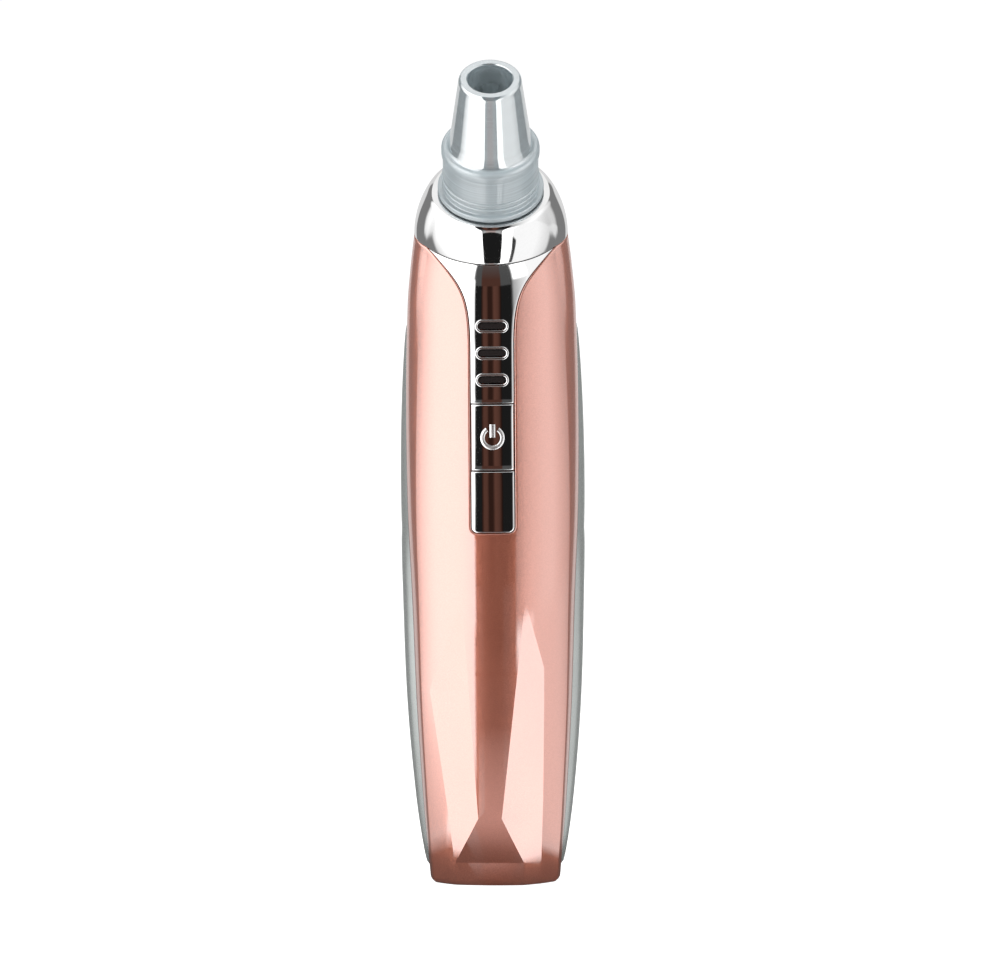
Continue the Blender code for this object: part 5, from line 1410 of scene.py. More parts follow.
@dataclass
class CasingSkin:
    """What both casing halves share: the split's edge, the ledge under the band and the inner wall."""

    form: BodyForm
    band: BandForm
    half: Half = Half.FRONT
    middle_q: float = 0.0
    edge_round: float = 0.28
    ledge_drop: float = 1.2
    round_steps: int = 4
    foot_steps: int = 5
    side_columns: int = 9
    row_nudge: float = 0.01
    inner_rise: float = 0.0005

    def grids(self) -> tuple[Grid, Grid]:
        """Return the outer and inner grids of points."""
        raise NotImplementedError

    def split(self) -> float:
        """Return the depth of the edge along the split."""
        return self.form.split_depth - self.half.value * self.form.seam_gap / 2

    def rim(self) -> list[Pair]:
        """Return (distance, drop) pairs of the rounded edge, from its inside to its rim."""
        return list(reversed(rounding(self.edge_round, self.round_steps)))

    def foot_rows(self) -> list[Pair]:
        """Return (t, trim) of each row of the base's rounding."""
        return [(self.form.at_height(z), trim) for z, trim in rounding(self.form.base_round, self.foot_steps)]

    def seam_rows(self) -> list[Pair]:
        """Return (t, trim) of each row of the rounding at the nose seam."""
        form = self.form
        return [(form.at_height(form.seam_height - distance), drop) for distance, drop in self.rim()]

    def grounded(self, row: Sequence[Vector]) -> list[Vector]:
        """Return the row on the ground that closes the base."""
        return [Vector((point.x, self.split(), 0.0)) for point in row]

    def side_row(self, t: float, start: float) -> list[Pair]:
        """Find the part of a row that ends at the split, with the ledge under the band.

        Args:
            t: the row's place along the centre line.
            start: the q at which this part starts.

        Returns:
            The (q, drop) of each point.
        """
        form, band, way = self.form, self.band, self.half.value
        height, low = form.spine(t)[1], self.split()
        if band.bottom - form.seam_gap < height < band.top + form.seam_gap:
            front, rear = band.span(height, form.split_depth)
            low = min(low, front - form.seam_gap) if way > 0 else max(low, rear + form.seam_gap)
        edge, end = form.q_at_depth(t, low), form.q_at_depth(t, self.split())
        rounds = [
            (edge - way * form.reach(t, edge - way * 0.02, distance), drop) for distance, drop in self.rim()
        ]
        first = way * max(way * rounds[0][0], way * start)
        row = [(q, 0.0) for q in spread(start, first, self.side_columns)[:-1]] + rounds
        return row + [(edge, self.ledge_drop), ((edge + end) / 2, self.ledge_drop), (end, self.ledge_drop)]

    def inner_half_row(self, t: float, count: int) -> list[Vector]:
        """Return the right half of one inner row, evenly spaced."""
        form = self.form
        end = form.q_at_depth(t, self.split())
        row = []
        for q in spread(self.middle_q, end, count - 1):
            x, depth = form.profile(t, q)
            share = 1.0 - form.wall / math.hypot(x, depth)
            row.append(form.placed(t, x * share, depth * share))
        row[-1] = form.placed(t, form.profile(t, end)[0] - form.wall, self.split())
        return row

    def inner_grid(self, places: Sequence[float], count: int) -> Grid:
        """Return the inner rows at the given places, over a flat floor."""
        base = self.inner_half_row(self.form.at_height(self.form.floor), count)
        halves = [[Vector((point.x, self.split(), self.form.floor)) for point in base]]
        halves += [self.inner_half_row(min(t, 1.0), count) for t in places]
        return [mirrored(half) for half in halves]

    def cut_skin(self, name: str, cutters: Sequence[Item]) -> Item:
        """Close the room between the grids and cut the openings.

        Args:
            name: the skin's name.
            cutters: the closed meshes that are cut out.

        Returns:
            The skin.
        """
        skin = slab(name, *self.grids(), sharp=30.0)
        carve(skin, *cutters)
        clean(skin, 30.0)
        return skin


@dataclass
class FrontSkin(CasingSkin):
    """The front casing half, with the pocket for the chrome face and its flat cuts."""

    strip: StripForm = field(default_factory=StripForm)
    cuts: dict[Side, CutForm] = field(default_factory=lambda: {Side.LEFT: LEFT_CUT, Side.RIGHT: RIGHT_CUT})
    pocket_gap: float = 0.19
    crease_flat: float = 0.12
    rim_fade: float = 8.0
    cut_gap: float = 0.4
    even_from: float = 112.6
    stem_opening: float = 3.8
    pipe_opening: Pair = (4.3, 2.0)
    opening_depth: float = 6.0
    floor_columns: int = 8
    centre_columns: int = 7
    cut_columns: int = 10
    outer_columns: int = 12

    def pocket_low(self) -> float:
        """Return the height of the pocket's lower edge."""
        return self.strip.bottom - self.pocket_gap

    def line_q(self, t: float, line: Callable[[float], float]) -> float:
        """Return the q at which the row at t crosses a line given as x of the height."""
        def lead(q: float) -> float:
            """Return how far outside the line the row's point at q is."""
            point = self.form.point(t, q)
            return abs(point.x) - line(point.z)

        return crossing(lead)

    def floor_line(self, z: float, side: Side) -> float:
        """Return x of the pocket's edge, and below the pocket of the foot's cut."""
        low, cut = self.pocket_low() - self.edge_round, self.cuts[side]
        if z >= low:
            return self.strip.edge(z, self.pocket_gap)
        tip = cut.foot[-1][1]
        if z <= tip:
            return cut.across(cut.foot, z)
        return (self.strip.half_width - self.strip.corner) * (z - tip) / (low - tip)

    def rim_line(self, z: float, side: Side, distance: float) -> float:
        """Return x of the line at a distance outside the pocket's edge."""
        low, tip = self.pocket_low() - self.edge_round, self.cuts[side].foot[-1][1]
        if z >= low:
            return self.strip.edge(z, self.pocket_gap + distance)
        fade = min(max((z - tip) / self.rim_fade, 0.0), 1.0)
        return self.floor_line(z, side) + distance * fade

    def inner_line(self, z: float, side: Side) -> float:
        """Return x of the side cut's inner edge."""
        cut = self.cuts[side]
        if z <= cut.waist():
            return cut.across(cut.foot, z)
        if z <= cut.top():
            return cut.across(cut.inner, z)
        return max(cut.inner[-1][0], self.rim_line(z, side, self.edge_round) + self.cut_gap)

    def outer_line(self, z: float, side: Side) -> float:
        """Return x of the side cut's outer edge."""
        cut = self.cuts[side]
        return cut.across(cut.outer, z) if z <= cut.top() else self.inner_line(z, side)

    def pocket_drop(self, point: Vector) -> float:
        """Return how far the pocket's rounded rim lowers the surface at a point."""
        return rim_drop(self.strip.distance(abs(point.x), point.z) - self.pocket_gap, self.edge_round)

    def stops(self) -> list[tuple[float, float, bool]]:
        """Return (t, trim, whether it crosses the pocket) of each row above the foot's rounding."""
        form, radius, low = self.form, self.edge_round, self.pocket_low()
        foot, head = self.band.bottom - form.seam_gap, self.band.top + form.seam_gap
        heights = [form.base_round, foot - self.row_nudge, foot + self.row_nudge]
        heights += spread(heights[-1] + 0.8, low - 2 * radius, 60)
        heights += spread(form.base_round + 0.5, self.cuts[Side.LEFT].bottom() + 0.4, 8)
        levels = {form.at_height(z) for z in heights}
        levels |= {form.front_t(0.0, low - distance) for distance, _drop in self.rim()}
        for cut in self.cuts.values():
            levels |= {form.front_t(x, z) for x, z in cut.foot + cut.inner + cut.outer}
        last = form.front_t(0.0, low)
        rows = [(t, 0.0, False) for t in sorted(levels) if t <= last + 1e-9]
        corner = rounding(self.strip.corner + self.pocket_gap, 7)
        above = [form.front_t(0.0, low + height) for height, _drop in corner]
        above += spread(above[-1], form.at_height(self.even_from), 16)[1:-1]
        above += [form.at_height(z) for z in spread(self.even_from, head - self.row_nudge, 20)]
        start, end = form.at_height(head + self.row_nudge), form.at_height(form.seam_height - radius)
        rows += [(t, 0.0, True) for t in above + spread(start, end, 44)[:-1]]
        return rows + [(t, drop, True) for t, drop in self.seam_rows()]

    def foot_depth(self, t: float, x: float, trim: float, side: Side) -> float:
        """Return the depth of the foot's flat cut at x, between its left and right edges.

        Args:
            t: the row's place along the centre line.
            x: the distance from the middle.
            trim: how far the row is moved into the body.
            side: the side that x is on.

        Returns:
            The depth.
        """
        ends = []
        for other in (side, Side(-side.value)):
            cut = self.cuts[other]
            ends.append(self.form.inset(t, self.line_q(t, partial(cut.across, cut.foot)), trim))
        (near, near_depth), (far, far_depth) = ends
        return near_depth + (far_depth - near_depth) * (near - x) / max(near + far, 1e-6)

    def half_row(self, t: float, trim: float, pocket: bool, side: Side) -> list[Vector]:
        """Build one half of an outer row as a right half.

        Args:
            t: the row's place along the centre line.
            trim: how far the row is moved into the body.
            pocket: whether the row crosses the pocket.
            side: the side whose cuts it has.

        Returns:
            The points from the middle to the split.
        """
        form, cut = self.form, self.cuts[side]
        floor_q = self.line_q(t, lambda z: self.floor_line(z, side))
        rim_q = [
            self.line_q(t, lambda z, d=distance: self.rim_line(z, side, d))
            for distance, _drop in rounding(self.edge_round, self.round_steps)
        ]
        inner_q = max(self.line_q(t, lambda z: self.inner_line(z, side)), rim_q[-1])
        outer_q = max(self.line_q(t, lambda z: self.outer_line(z, side)), inner_q)
        crease = max(1.0, outer_q + 0.02)
        flat = form.reach(t, 1.0, self.crease_flat)
        flatness = 0.0 if pocket else cut.share(form.point(t, inner_q).z)
        is_foot = flatness > 0.0 and form.point(t, floor_q).z < cut.foot[-1][1]
        row = []
        for q in spread(0.0, floor_q, self.floor_columns):
            if pocket:
                row.append(form.point(t, q, max(self.strip.pocket, trim)))
                continue
            x, depth = form.inset(t, q, max(trim, self.pocket_drop(form.point(t, q))))
            if is_foot:
                depth += (self.foot_depth(t, x, trim, side) - depth) * flatness
            row.append(form.placed(t, x, depth))
        row += [form.point(t, q, max(self.pocket_drop(form.point(t, q)), trim)) for q in rim_q]
        row += [form.point(t, q, trim) for q in spread(rim_q[-1], inner_q, self.centre_columns)[1:]]
        start, end = Vector(form.inset(t, inner_q, trim)), Vector(form.inset(t, outer_q, trim))
        for share in spread(0.0, 1.0, self.cut_columns)[1:]:
            bent = Vector(form.inset(t, inner_q + (outer_q - inner_q) * share, trim))
            row.append(form.placed(t, *bent.lerp(start.lerp(end, share), flatness)))
        before = crease - min(flat, (crease - outer_q) / 2)
        row += [form.point(t, q, trim) for q in spread(outer_q, before, self.outer_columns)[1:]]
        row += [form.point(t, q, max(drop, trim)) for q, drop in self.side_row(t, crease + flat)]
        return row

    def outer_row(self, t: float, trim: float, pocket: bool) -> list[Vector]:
        """Return one full outer row."""
        left, right = (self.half_row(t, trim, pocket, side) for side in (Side.LEFT, Side.RIGHT))
        return mirrored(right, left)

    def grids(self) -> tuple[Grid, Grid]:
        """Return the outer and inner grids of points."""
        foot, rows = self.foot_rows()[:-1], self.stops()
        outer = [self.outer_row(t, trim, False) for t, trim in foot]
        outer.insert(0, self.grounded(outer[0]))
        outer += [self.outer_row(*row) for row in rows]
        floor_t = self.form.at_height(self.form.floor)
        places = [floor_t] * len(foot)
        places += [max(row[0], floor_t + self.inner_rise * (i + 1)) for i, row in enumerate(rows)]
        return outer, self.inner_grid(places, (len(outer[0]) + 1) // 2)

    def openings(self) -> list[Item]:
        """Return what cuts the pocket's floor open for the key's stem and the light pipes."""
        middle = self.strip.key_middle()
        outlines = [(middle, rounded_box(self.stem_opening, self.stem_opening, (0.0, middle), 0.4))]
        outlines += [(z, pill(*self.pipe_opening, middle=(0.0, z))) for z in self.strip.windows()]
        cutters = []
        for i, (z, outline) in enumerate(outlines):
            y = self.form.front_point(0.0, z).y
            cutters.append(prism(f"floor_cut_{i}", outline, y, y + self.opening_depth))
        return cutters

    def crisp(self, item: Item) -> None:
        """Keep the edges of the flat cuts crisp."""
        lines = []
        for side, cut in self.cuts.items():
            for start, end in cut.edge_lines():
                a, b = Vector((side.value * start[0], start[1])), Vector((side.value * end[0], end[1]))
                lines.append((a, (b - a).normalized(), (b - a).length))
        data = bmesh.new()
        data.from_mesh(item.data)
        for edge in data.edges:
            first, second = (Vector((v.co.x / MM, v.co.z / MM)) for v in edge.verts)
            if edge.verts[0].co.y > 0.0 or first.y > self.strip.bottom - 2.0:
                continue
            if any(on_line(first, *line) and on_line(second, *line) for line in lines):
                edge.smooth = False
        data.to_mesh(item.data)
        data.free()

    def build(self) -> None:
        """Make the front skin."""
        skin = self.cut_skin("front_casing_skin", self.openings())
        self.crisp(skin)
        settle(skin, "casing", "rose_paint", "front_shell")


def on_line(point: Vector, start: Vector, run: Vector, length: float, near: float = 0.03) -> bool:
    """Return whether a point lies on a straight line, within a small distance in millimetres."""
    along = (point - start).dot(run)
    return -near <= along <= length + near and abs((point - start).cross(run)) < near


@dataclass
class RearSkin(CasingSkin):
    """The rear casing half, with its vents and the charging port."""

    half: Half = Half.REAR
    middle_q: float = 3.0
    side_columns: int = 26
    vent_count: int = 3
    vent_lowest: float = 116.0
    vent_pitch: float = 4.0
    vent_size: Pair = (9.0, 1.4)
    vent_reach: Pair = (8.0, 30.0)
    port_size: Pair = (8.4, 3.5)
    port_depth: float = 6.6
    port_reach: Pair = (-2.0, 5.0)

    def half_row(self, t: float, trim: float) -> list[Vector]:
        """Return the right half of one outer row, from the back middle to the split."""
        return [self.form.point(t, q, max(drop, trim)) for q, drop in self.side_row(t, self.middle_q)]

    def grids(self) -> tuple[Grid, Grid]:
        """Return the outer and inner grids of points."""
        form, nudge = self.form, self.row_nudge
        foot, head = self.band.bottom - form.seam_gap, self.band.top + form.seam_gap
        heights = [foot - nudge] + spread(foot + nudge, head - nudge, 60)
        heights += spread(head + nudge, form.seam_height - 2 * self.edge_round, 16)
        rows = self.foot_rows() + [(form.at_height(z), 0.0) for z in heights] + self.seam_rows()
        outer = [self.half_row(t, trim) for t, trim in rows]
        outer.insert(0, self.grounded(outer[0]))
        floor_t = form.at_height(form.floor)
        places = [max(t, floor_t + self.inner_rise * i) for i, (t, _trim) in enumerate(rows)]
        return [mirrored(row) for row in outer], self.inner_grid(places, len(outer[0]))

    def openings(self) -> list[Item]:
        """Return what cuts the vents and the charging port."""
        cutters = []
        for i in range(self.vent_count):
            slot = pill(*self.vent_size, middle=(0.0, self.vent_lowest + i * self.vent_pitch))
            cutters.append(prism(f"vent_cut_{i}", slot, *self.vent_reach))
        corners = rounded_box(*self.port_size, (0.0, 0.0), 1.0)
        rings = [[Vector((x, y + self.port_depth, z)) for x, y in corners] for z in self.port_reach]
        return cutters + [rod("port_cut", rings)]

    def build(self) -> None:
        """Make the rear skin."""
        settle(self.cut_skin("rear_casing_skin", self.openings()), "casing", "rose_paint", "rear_shell")


@dataclass
class SideBands:
    """The two silver crescents over the split."""

    form: BodyForm
    band: BandForm
    rows: int = 120
    columns: int = 20

    def ring(self, side: Side, share: float) -> list[Vector]:
        """Return one cross-section of a crescent."""
        form, band = self.form, self.band
        height = band.bottom + (band.top - band.bottom) * share
        t = form.at_height(height)
        low, high = band.span(height, form.split_depth)
        bulge = band.end_bulge + (band.bulge - band.end_bulge) * band.swell(height) + band.extra(height)
        line = []
        for s in spread(0.0, 1.0, self.columns):
            depth = low + (high - low) * s
            line.append((form.back_width(t, depth) + bulge * math.sin(math.pi * s), depth))
        line.append((form.back_width(t, high) - band.depth, high))
        line.append((form.back_width(t, low) - band.depth, low))
        return [form.placed(t, side.value * x, depth) for x, depth in line]

    def build(self) -> None:
        """Make both crescents."""
        for side in Side:
            name = side.name.lower()
            rings = [self.ring(side, share) for share in spread(0.0, 1.0, self.rows)]
            item = rod(f"{name}_silver_band", rings)
            settle(item, "casing", "silver", f"{name}_side_trim")


@dataclass
class ControlStrip:
    """The chrome face with its light windows, the power key and the foot of the strip."""

    form: BodyForm
    strip: StripForm
    edge_round: float = 0.3
    key_round: float = 0.55
    round_steps: int = 6
    columns: int = 14
    stem_width: float = 3.0
    sign_radius: float = 2.75
    sign_width: float = 0.95
    sign_gap: float = 34.0
    bar_width: float = 1.25
    bar_length: float = 3.0
    bar_lead: float = 0.35
    sign_rise: float = 0.14
    sign_root: float = 0.3
    light_pipe: Pair = (3.6, 1.3)
    lens_setback: float = 0.225
    face_run: float = 14.0
    window_steps: int = 16

    def level_rows(self, low: float, high: float, radius: float, corner: float = 0.0) -> list[float]:
        """Find the heights of level rows, closer together where the rim turns.

        Args:
            low: the lowest height.
            high: the highest height.
            radius: the rim's rounding.
            corner: the radius of the bottom corners.

        Returns:
            The heights in rising order.
        """
        rim = [distance for distance, _drop in rounding(radius, self.round_steps)]
        heights = [low + distance for distance in rim]
        if corner:
            heights += [low + height for height, _drop in rounding(corner, 8)]
        round_top = high < self.strip.shoulder_start
        heights += [high - distance for distance in rim if round_top]
        heights += spread(low + max(radius, corner), high - (radius if round_top else 0.0), 14)
        return sorted({round(z, 5) for z in heights})

    def level_grids(
        self, heights: Sequence[float], ends: Pair, radius: float, thickness: float,
    ) -> tuple[Grid, Grid]:
        """Find the points of level rows.

        Args:
            heights: the rows' heights.
            ends: the heights of the piece's lower and upper edge.
            radius: the rim's rounding.
            thickness: how deep the inner points lie.

        Returns:
            The outer and inner grids of points.
        """
        strip, outer, inner = self.strip, [], []
        rounds = list(reversed(rounding(radius, self.round_steps)))
        for z in heights:
            rim = [strip.edge(z, -distance) for distance, _drop in rounds]
            places = spread(0.0, rim[0], self.columns)[:-1] + rim
            drops = [rim_drop(min(-strip.distance(x, z), z - ends[0], ends[1] - z), radius) for x in places]
            outer.append(mirrored([self.form.front_point(x, z, drop) for x, drop in zip(places, drops)]))
            inner.append(mirrored([self.form.front_point(x, z, thickness) for x in places]))
        return outer, inner

    def patch(
        self, name: str, low: float, high: float, radius: float, thickness: float, corner: float = 0.0,
    ) -> Item:
        """Make a piece of the casing's own surface between two heights of the strip."""
        rows = self.level_rows(low, high, radius, corner)
        return slab(name, *self.level_grids(rows, (low, high), radius, thickness))

    def face(self) -> Item:
        """Make the chrome face from the power key up to the seam."""
        form, strip, radius = self.form, self.strip, self.edge_round
        low, top = strip.key_bottom + strip.key_height + form.seam_gap, strip.shoulder_start
        rows = self.level_rows(low, top, radius)
        outer, inner = self.level_grids(rows, (low, math.inf), radius, strip.thickness)
        start = form.front_t(0.0, top)
        side = form.front_t(strip.half_width, top)
        bend = (side - start) * (form.sizes(start)[1] / strip.half_width) ** 2
        length = self.face_run + strip.shoulder_top - top
        rounds = list(reversed(rounding(radius, self.round_steps)))
        shares = [(share, 0.0) for share in spread(0.0, 1.0 - 2 * radius / length, 60)[1:]]
        shares += [(1.0 - distance / length, drop) for distance, drop in rounds]
        for share, trim in shares:
            def row_t(q: float) -> float:
                """Return t of the row's point at q."""
                return start + (1.0 - start) * share + bend * q * q * (1.0 - share) ** 2

            half, back = [], []
            rim = [self.rim_q(row_t, -distance) for distance, _drop in rounds]
            for q in spread(0.0, rim[0], self.columns)[:-1] + rim:
                t = row_t(q)
                point = form.point(t, q)
                edge = -strip.distance(point.x, point.z)
                half.append(form.point(t, q, max(rim_drop(edge, radius), trim)))
                back.append(form.point(t, q, strip.thickness))
            outer.append(mirrored(half))
            inner.append(mirrored(back))
        face = slab("chrome_face", outer, inner)
        cutters = []
        for i, z in enumerate(strip.windows()):
            y = form.front_point(0.0, z).y
            outline = pill(strip.window_width, strip.window_height, (0.0, z), self.window_steps)
            cutters.append(prism(f"window_cut_{i}", outline, y - 2.0, y + 3.0))
        carve(face, *cutters)
        clean(face, 30.0)
        return face

    def rim_q(self, row_t: Callable[[float], float], grow: float) -> float:
        """Return the q at which a row meets the strip's edge, moved outwards by grow.

        Args:
            row_t: gives t of the row's point at a q.
            grow: how far the edge is moved outwards.

        Returns:
            The q.
        """
        def lead(q: float) -> float:
            """Return how far outside the edge the row's point at q is."""
            point = self.form.point(row_t(q), q)
            return point.x - self.strip.edge(point.z, grow)

        return crossing(lead, last=1.34)

    def bezels(self) -> Item:
        """Make the three bright frames around the windows."""
        strip = self.strip
        wide, high = strip.window_width + strip.bezel, strip.window_height + strip.bezel
        points, edges = [], []
        for z in strip.windows():
            outline = pill(wide, high, (0.0, z), self.window_steps)
            outline = [place for i, place in enumerate(outline) if math.dist(place, outline[i - 1]) > 1e-4]
            first = len(points)
            y = self.form.front_point(0.0, z).y
            points += [Vector((x, y, height)) * MM for x, height in outline]
            edges += [(first + i, first + (i + 1) % len(outline)) for i in range(len(outline))]
        return BeadTree().make(
            "window_bezels", points, edges, "chrome", sharp=60.0,
            Width=strip.bezel * MM, Height=2 * strip.bezel_rise * MM, Sides=14,
        )

    def lens(self, index: int, z: float) -> Item:
        """Make one smoked window with a softly crowned face and its light pipe."""
        strip = self.strip
        y = self.form.front_point(0.0, z).y
        gap = 2 * self.form.seam_gap
        wide, high = strip.window_width - gap, strip.window_height - gap
        rings = []
        for inset, depth in ((0.0, strip.thickness), (0.0, 0.45), (0.05, 0.33), (0.16, self.lens_setback)):
            outline = pill(wide - 2 * inset, high - 2 * inset, (0.0, z), 12)
            rings.append([Vector((x, y + depth, height)) for x, height in outline])
        glass = rod(f"window_glass_{index}", rings)
        _low, high_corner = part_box(f"led_lens_{index}")
        outline = pill(*self.light_pipe, middle=(0.0, z))
        pipe = prism(f"light_pipe_{index}", outline, y + strip.thickness - 0.3, high_corner.y / MM)
        return joined(f"window_lens_{index}", [glass, pipe])

    def ridge(self, name: str, rows: Iterable[Sequence[tuple[float, float, float]]]) -> Item:
        """Make a raised line on the key from rows of (x, height over the key's middle, rise).

        Args:
            name: the line's name.
            rows: rows of points across the line, from one end to the other.

        Returns:
            The raised line.
        """
        middle, point = self.strip.key_middle(), self.form.front_point
        outer, inner = [], []
        for row in rows:
            outer.append([point(x, middle + z, -self.sign_rise * rise) for x, z, rise in row])
            inner.append([point(x, middle + z, self.sign_root) for x, z, _rise in row])
        return slab(name, outer, inner, sharp=50.0)

    def sign(self) -> Item:
        """Make the raised power sign."""
        crown = [(share, math.sin(math.pi * share) ** 0.6) for share in spread(0.0, 1.0, 8)]
        rings = [(self.sign_radius - self.sign_width * (1 - share), rise) for share, rise in crown]
        turns = [math.radians(turn) for turn in spread(90 + self.sign_gap, 450 - self.sign_gap, 56)]
        ring = self.ridge("sign_ring", [
            [(radius * math.cos(turn), radius * math.sin(turn), rise) for radius, rise in rings]
            for turn in turns
        ])
        top = self.sign_radius + self.bar_lead
        bar = self.ridge("sign_bar", [
            [(self.bar_width * (share - 0.5), z, rise) for share, rise in crown]
            for z in spread(top - self.bar_length, top, 8)
        ])
        return joined("power_sign", [ring, bar], 50.0)

    def key(self) -> Item:
        """Make the power key with the stem that presses the switch."""
        strip, z = self.strip, self.strip.key_middle()
        high = strip.key_bottom + strip.key_height
        plate = self.patch("key_plate", strip.key_bottom, high, self.key_round, strip.key_thickness)
        y = self.form.front_point(0.0, z).y
        outline = rounded_box(self.stem_width, self.stem_width, (0.0, z), 0.3)
        _low, high_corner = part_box("power_button")
        stem = prism("key_stem", outline, y + strip.key_thickness / 2, high_corner.y / MM)
        return joined("power_key", [plate, stem])

    def build(self) -> None:
        """Make the strip's pieces."""
        strip = self.strip
        settle(self.face(), "casing", "chrome", "front_panel")
        settle(self.bezels(), "casing", "chrome")
        for i, z in enumerate(strip.windows(), 1):
            settle(self.lens(i, z), "casing", "smoke", f"led_lens_{i}")
        settle(self.key(), "button", "chrome", "power_button")
        settle(self.sign(), "button", "chrome", finish="satin_chrome")
        high = strip.key_bottom - self.form.seam_gap
        foot = self.patch("strip_foot", strip.bottom, high, self.edge_round, strip.thickness, strip.corner)
        settle(foot, "casing", "chrome", "lower_panel")


@dataclass
class NoseParts:
    """The chrome nose with the plug, seal and filter inside it."""

    form: BodyForm
    nose: NoseForm
    steps: int = 128
    rows: int = 44
    seat_round: float = 0.7
    seam_round: float = 0.25
    round_steps: int = 6

    def around(self) -> list[Pair]:
        """Return the seam section's points, evenly spread by angle, as (x, depth)."""
        fine = [self.form.profile(1.0, q) for q in spread(-3.0, 3.0, 2400)[:-1]]
        turns = [math.atan2(depth, x) for x, depth in fine]
        points = []
        for turn in spread(-math.pi, math.pi, self.steps)[:-1]:
            nearest = min(range(len(fine)), key=lambda i: abs(turns[i] - turn))
            size = math.hypot(*fine[nearest])
            points.append((size * math.cos(turn), size * math.sin(turn)))
        return points

    def ring(self, share: float, inset: float, seam: Sequence[Pair]) -> list[Vector]:
        """Return the ring at a share of the way from the seam to the seat, moved in by the inset."""
        form, nose = self.form, self.nose
        seat_y, seat_z = nose.seat(form)
        y = form.seam_setback + (seat_y - form.seam_setback) * share
        z = form.seam_height + (seat_z - form.seam_height) * share
        tilt = form.seam_tilt + (nose.tilt - form.seam_tilt) * share
        along = max(share, 0.0)
        blend = (1 - math.sqrt(max(1 - along ** 2, 0.0)) + along ** 2) / 2
        ring = []
        for x, depth in seam:
            size = math.hypot(x, depth)
            full = size + (nose.radius - size) * blend - inset
            x, depth = x / size * full, depth / size * full
            ring.append(Vector((x, y + depth * math.cos(tilt), z + depth * math.sin(tilt))))
        return ring

    def chrome(self) -> Item:
        """Make the chrome nose as one closed skin: outside, seat, hole and inside."""
        nose, form = self.nose, self.form
        seam = self.around()
        low = form.seam_gap / nose.length
        rings = []
        for distance, drop in rounding(self.seam_round, self.round_steps):
            rings.append(self.ring(low + distance / nose.length, drop, seam))
        last = 1.0 - self.seat_round / nose.length
        rings += [self.ring(share, 0.0, seam) for share in spread(low + 0.04, last, self.rows)[:-1]]
        for distance, drop in reversed(rounding(self.seat_round, self.round_steps)):
            rings.append(self.ring(1.0 - distance / nose.length, drop, seam))
        hole = nose.holder_radius() + nose.seat_gap
        place = nose.frame(form)
        turns = [math.atan2(depth, x) for x, depth in seam]
        for height, radius in ((0.0, hole + 0.2), (-0.2, hole), (-nose.wall, hole)):
            rings.append([
                place @ Vector((radius * MM * math.cos(turn), radius * MM * math.sin(turn), height * MM)) / MM
                for turn in turns
            ])
        lid = 1.0 - nose.wall / nose.length
        rings += [self.ring(share, nose.wall, seam) for share in spread(lid, low, 10)]
        return loop_of_rings("chrome_nose", rings, sharp=50.0)

    def turn(self, name: str, outline: Sequence[Pair], finish: str, node: str, sharp: float = 35.0) -> None:
        """Turn an outline around the nose's axis and settle it in the casing."""
        item = TurningTree().turned(name, outline, finish, self.nose.frame(self.form), sharp=sharp)
        settle(item, "casing", finish, node)

    def build(self) -> None:
        """Make the nose and what is inside it."""
        nose = self.nose
        settle(self.chrome(), "casing", "chrome", "nose_ring")
        gap, outer, duct, barb = nose.seat_gap, nose.holder_radius(), nose.duct_radius, nose.barb_radius
        inner = outer - nose.holder_wall
        under = -nose.wall - gap
        flange = outer + nose.holder_flange - gap
        low = under - nose.holder_flange_height
        tail = low - nose.holder_tail
        groove_low = nose.seal_centre - nose.seal_width / 2
        groove_high = nose.seal_centre + nose.seal_width / 2
        groove = outer - nose.seal_depth
        plug = rounded([
            (duct, tail), (barb - 0.35, tail), (barb, tail + 1.6), (barb - 0.3, tail + 1.7),
            (barb - 0.3, low), (flange, low), (flange, under), (outer, under),
            (outer, groove_low - gap), (groove, groove_low - gap),
            (groove, groove_high + gap), (outer, groove_high + gap),
            (outer, nose.holder_height), (inner, nose.holder_height),
            (inner, nose.filter_seat), (duct, nose.filter_seat),
        ], 0.25, 3)
        self.turn("head_plug", plug, "white_plastic", "head_holder")
        lip = nose.collar_bore() - self.form.seam_gap
        seal = rounded([
            (groove + gap, groove_low), (outer, groove_low), (lip, groove_low + nose.seal_width / 3),
            (lip, groove_high - nose.seal_width / 3), (outer, groove_high), (groove + gap, groove_high),
        ], 0.25, 4)
        self.turn("plug_seal", seal, "silicone", "seal_ring", 60.0)
        low, wide = nose.filter_seat + gap, inner - gap
        high = low + nose.filter_thickness
        pad = rounded([(0.0, low), (wide, low), (wide, high), (0.0, high)], 0.4, 4)
        pad = [(max(radius, 0.0), height) for radius, height in pad]
        self.turn("filter_foam", pad, "foam", "filter_pad", 60.0)


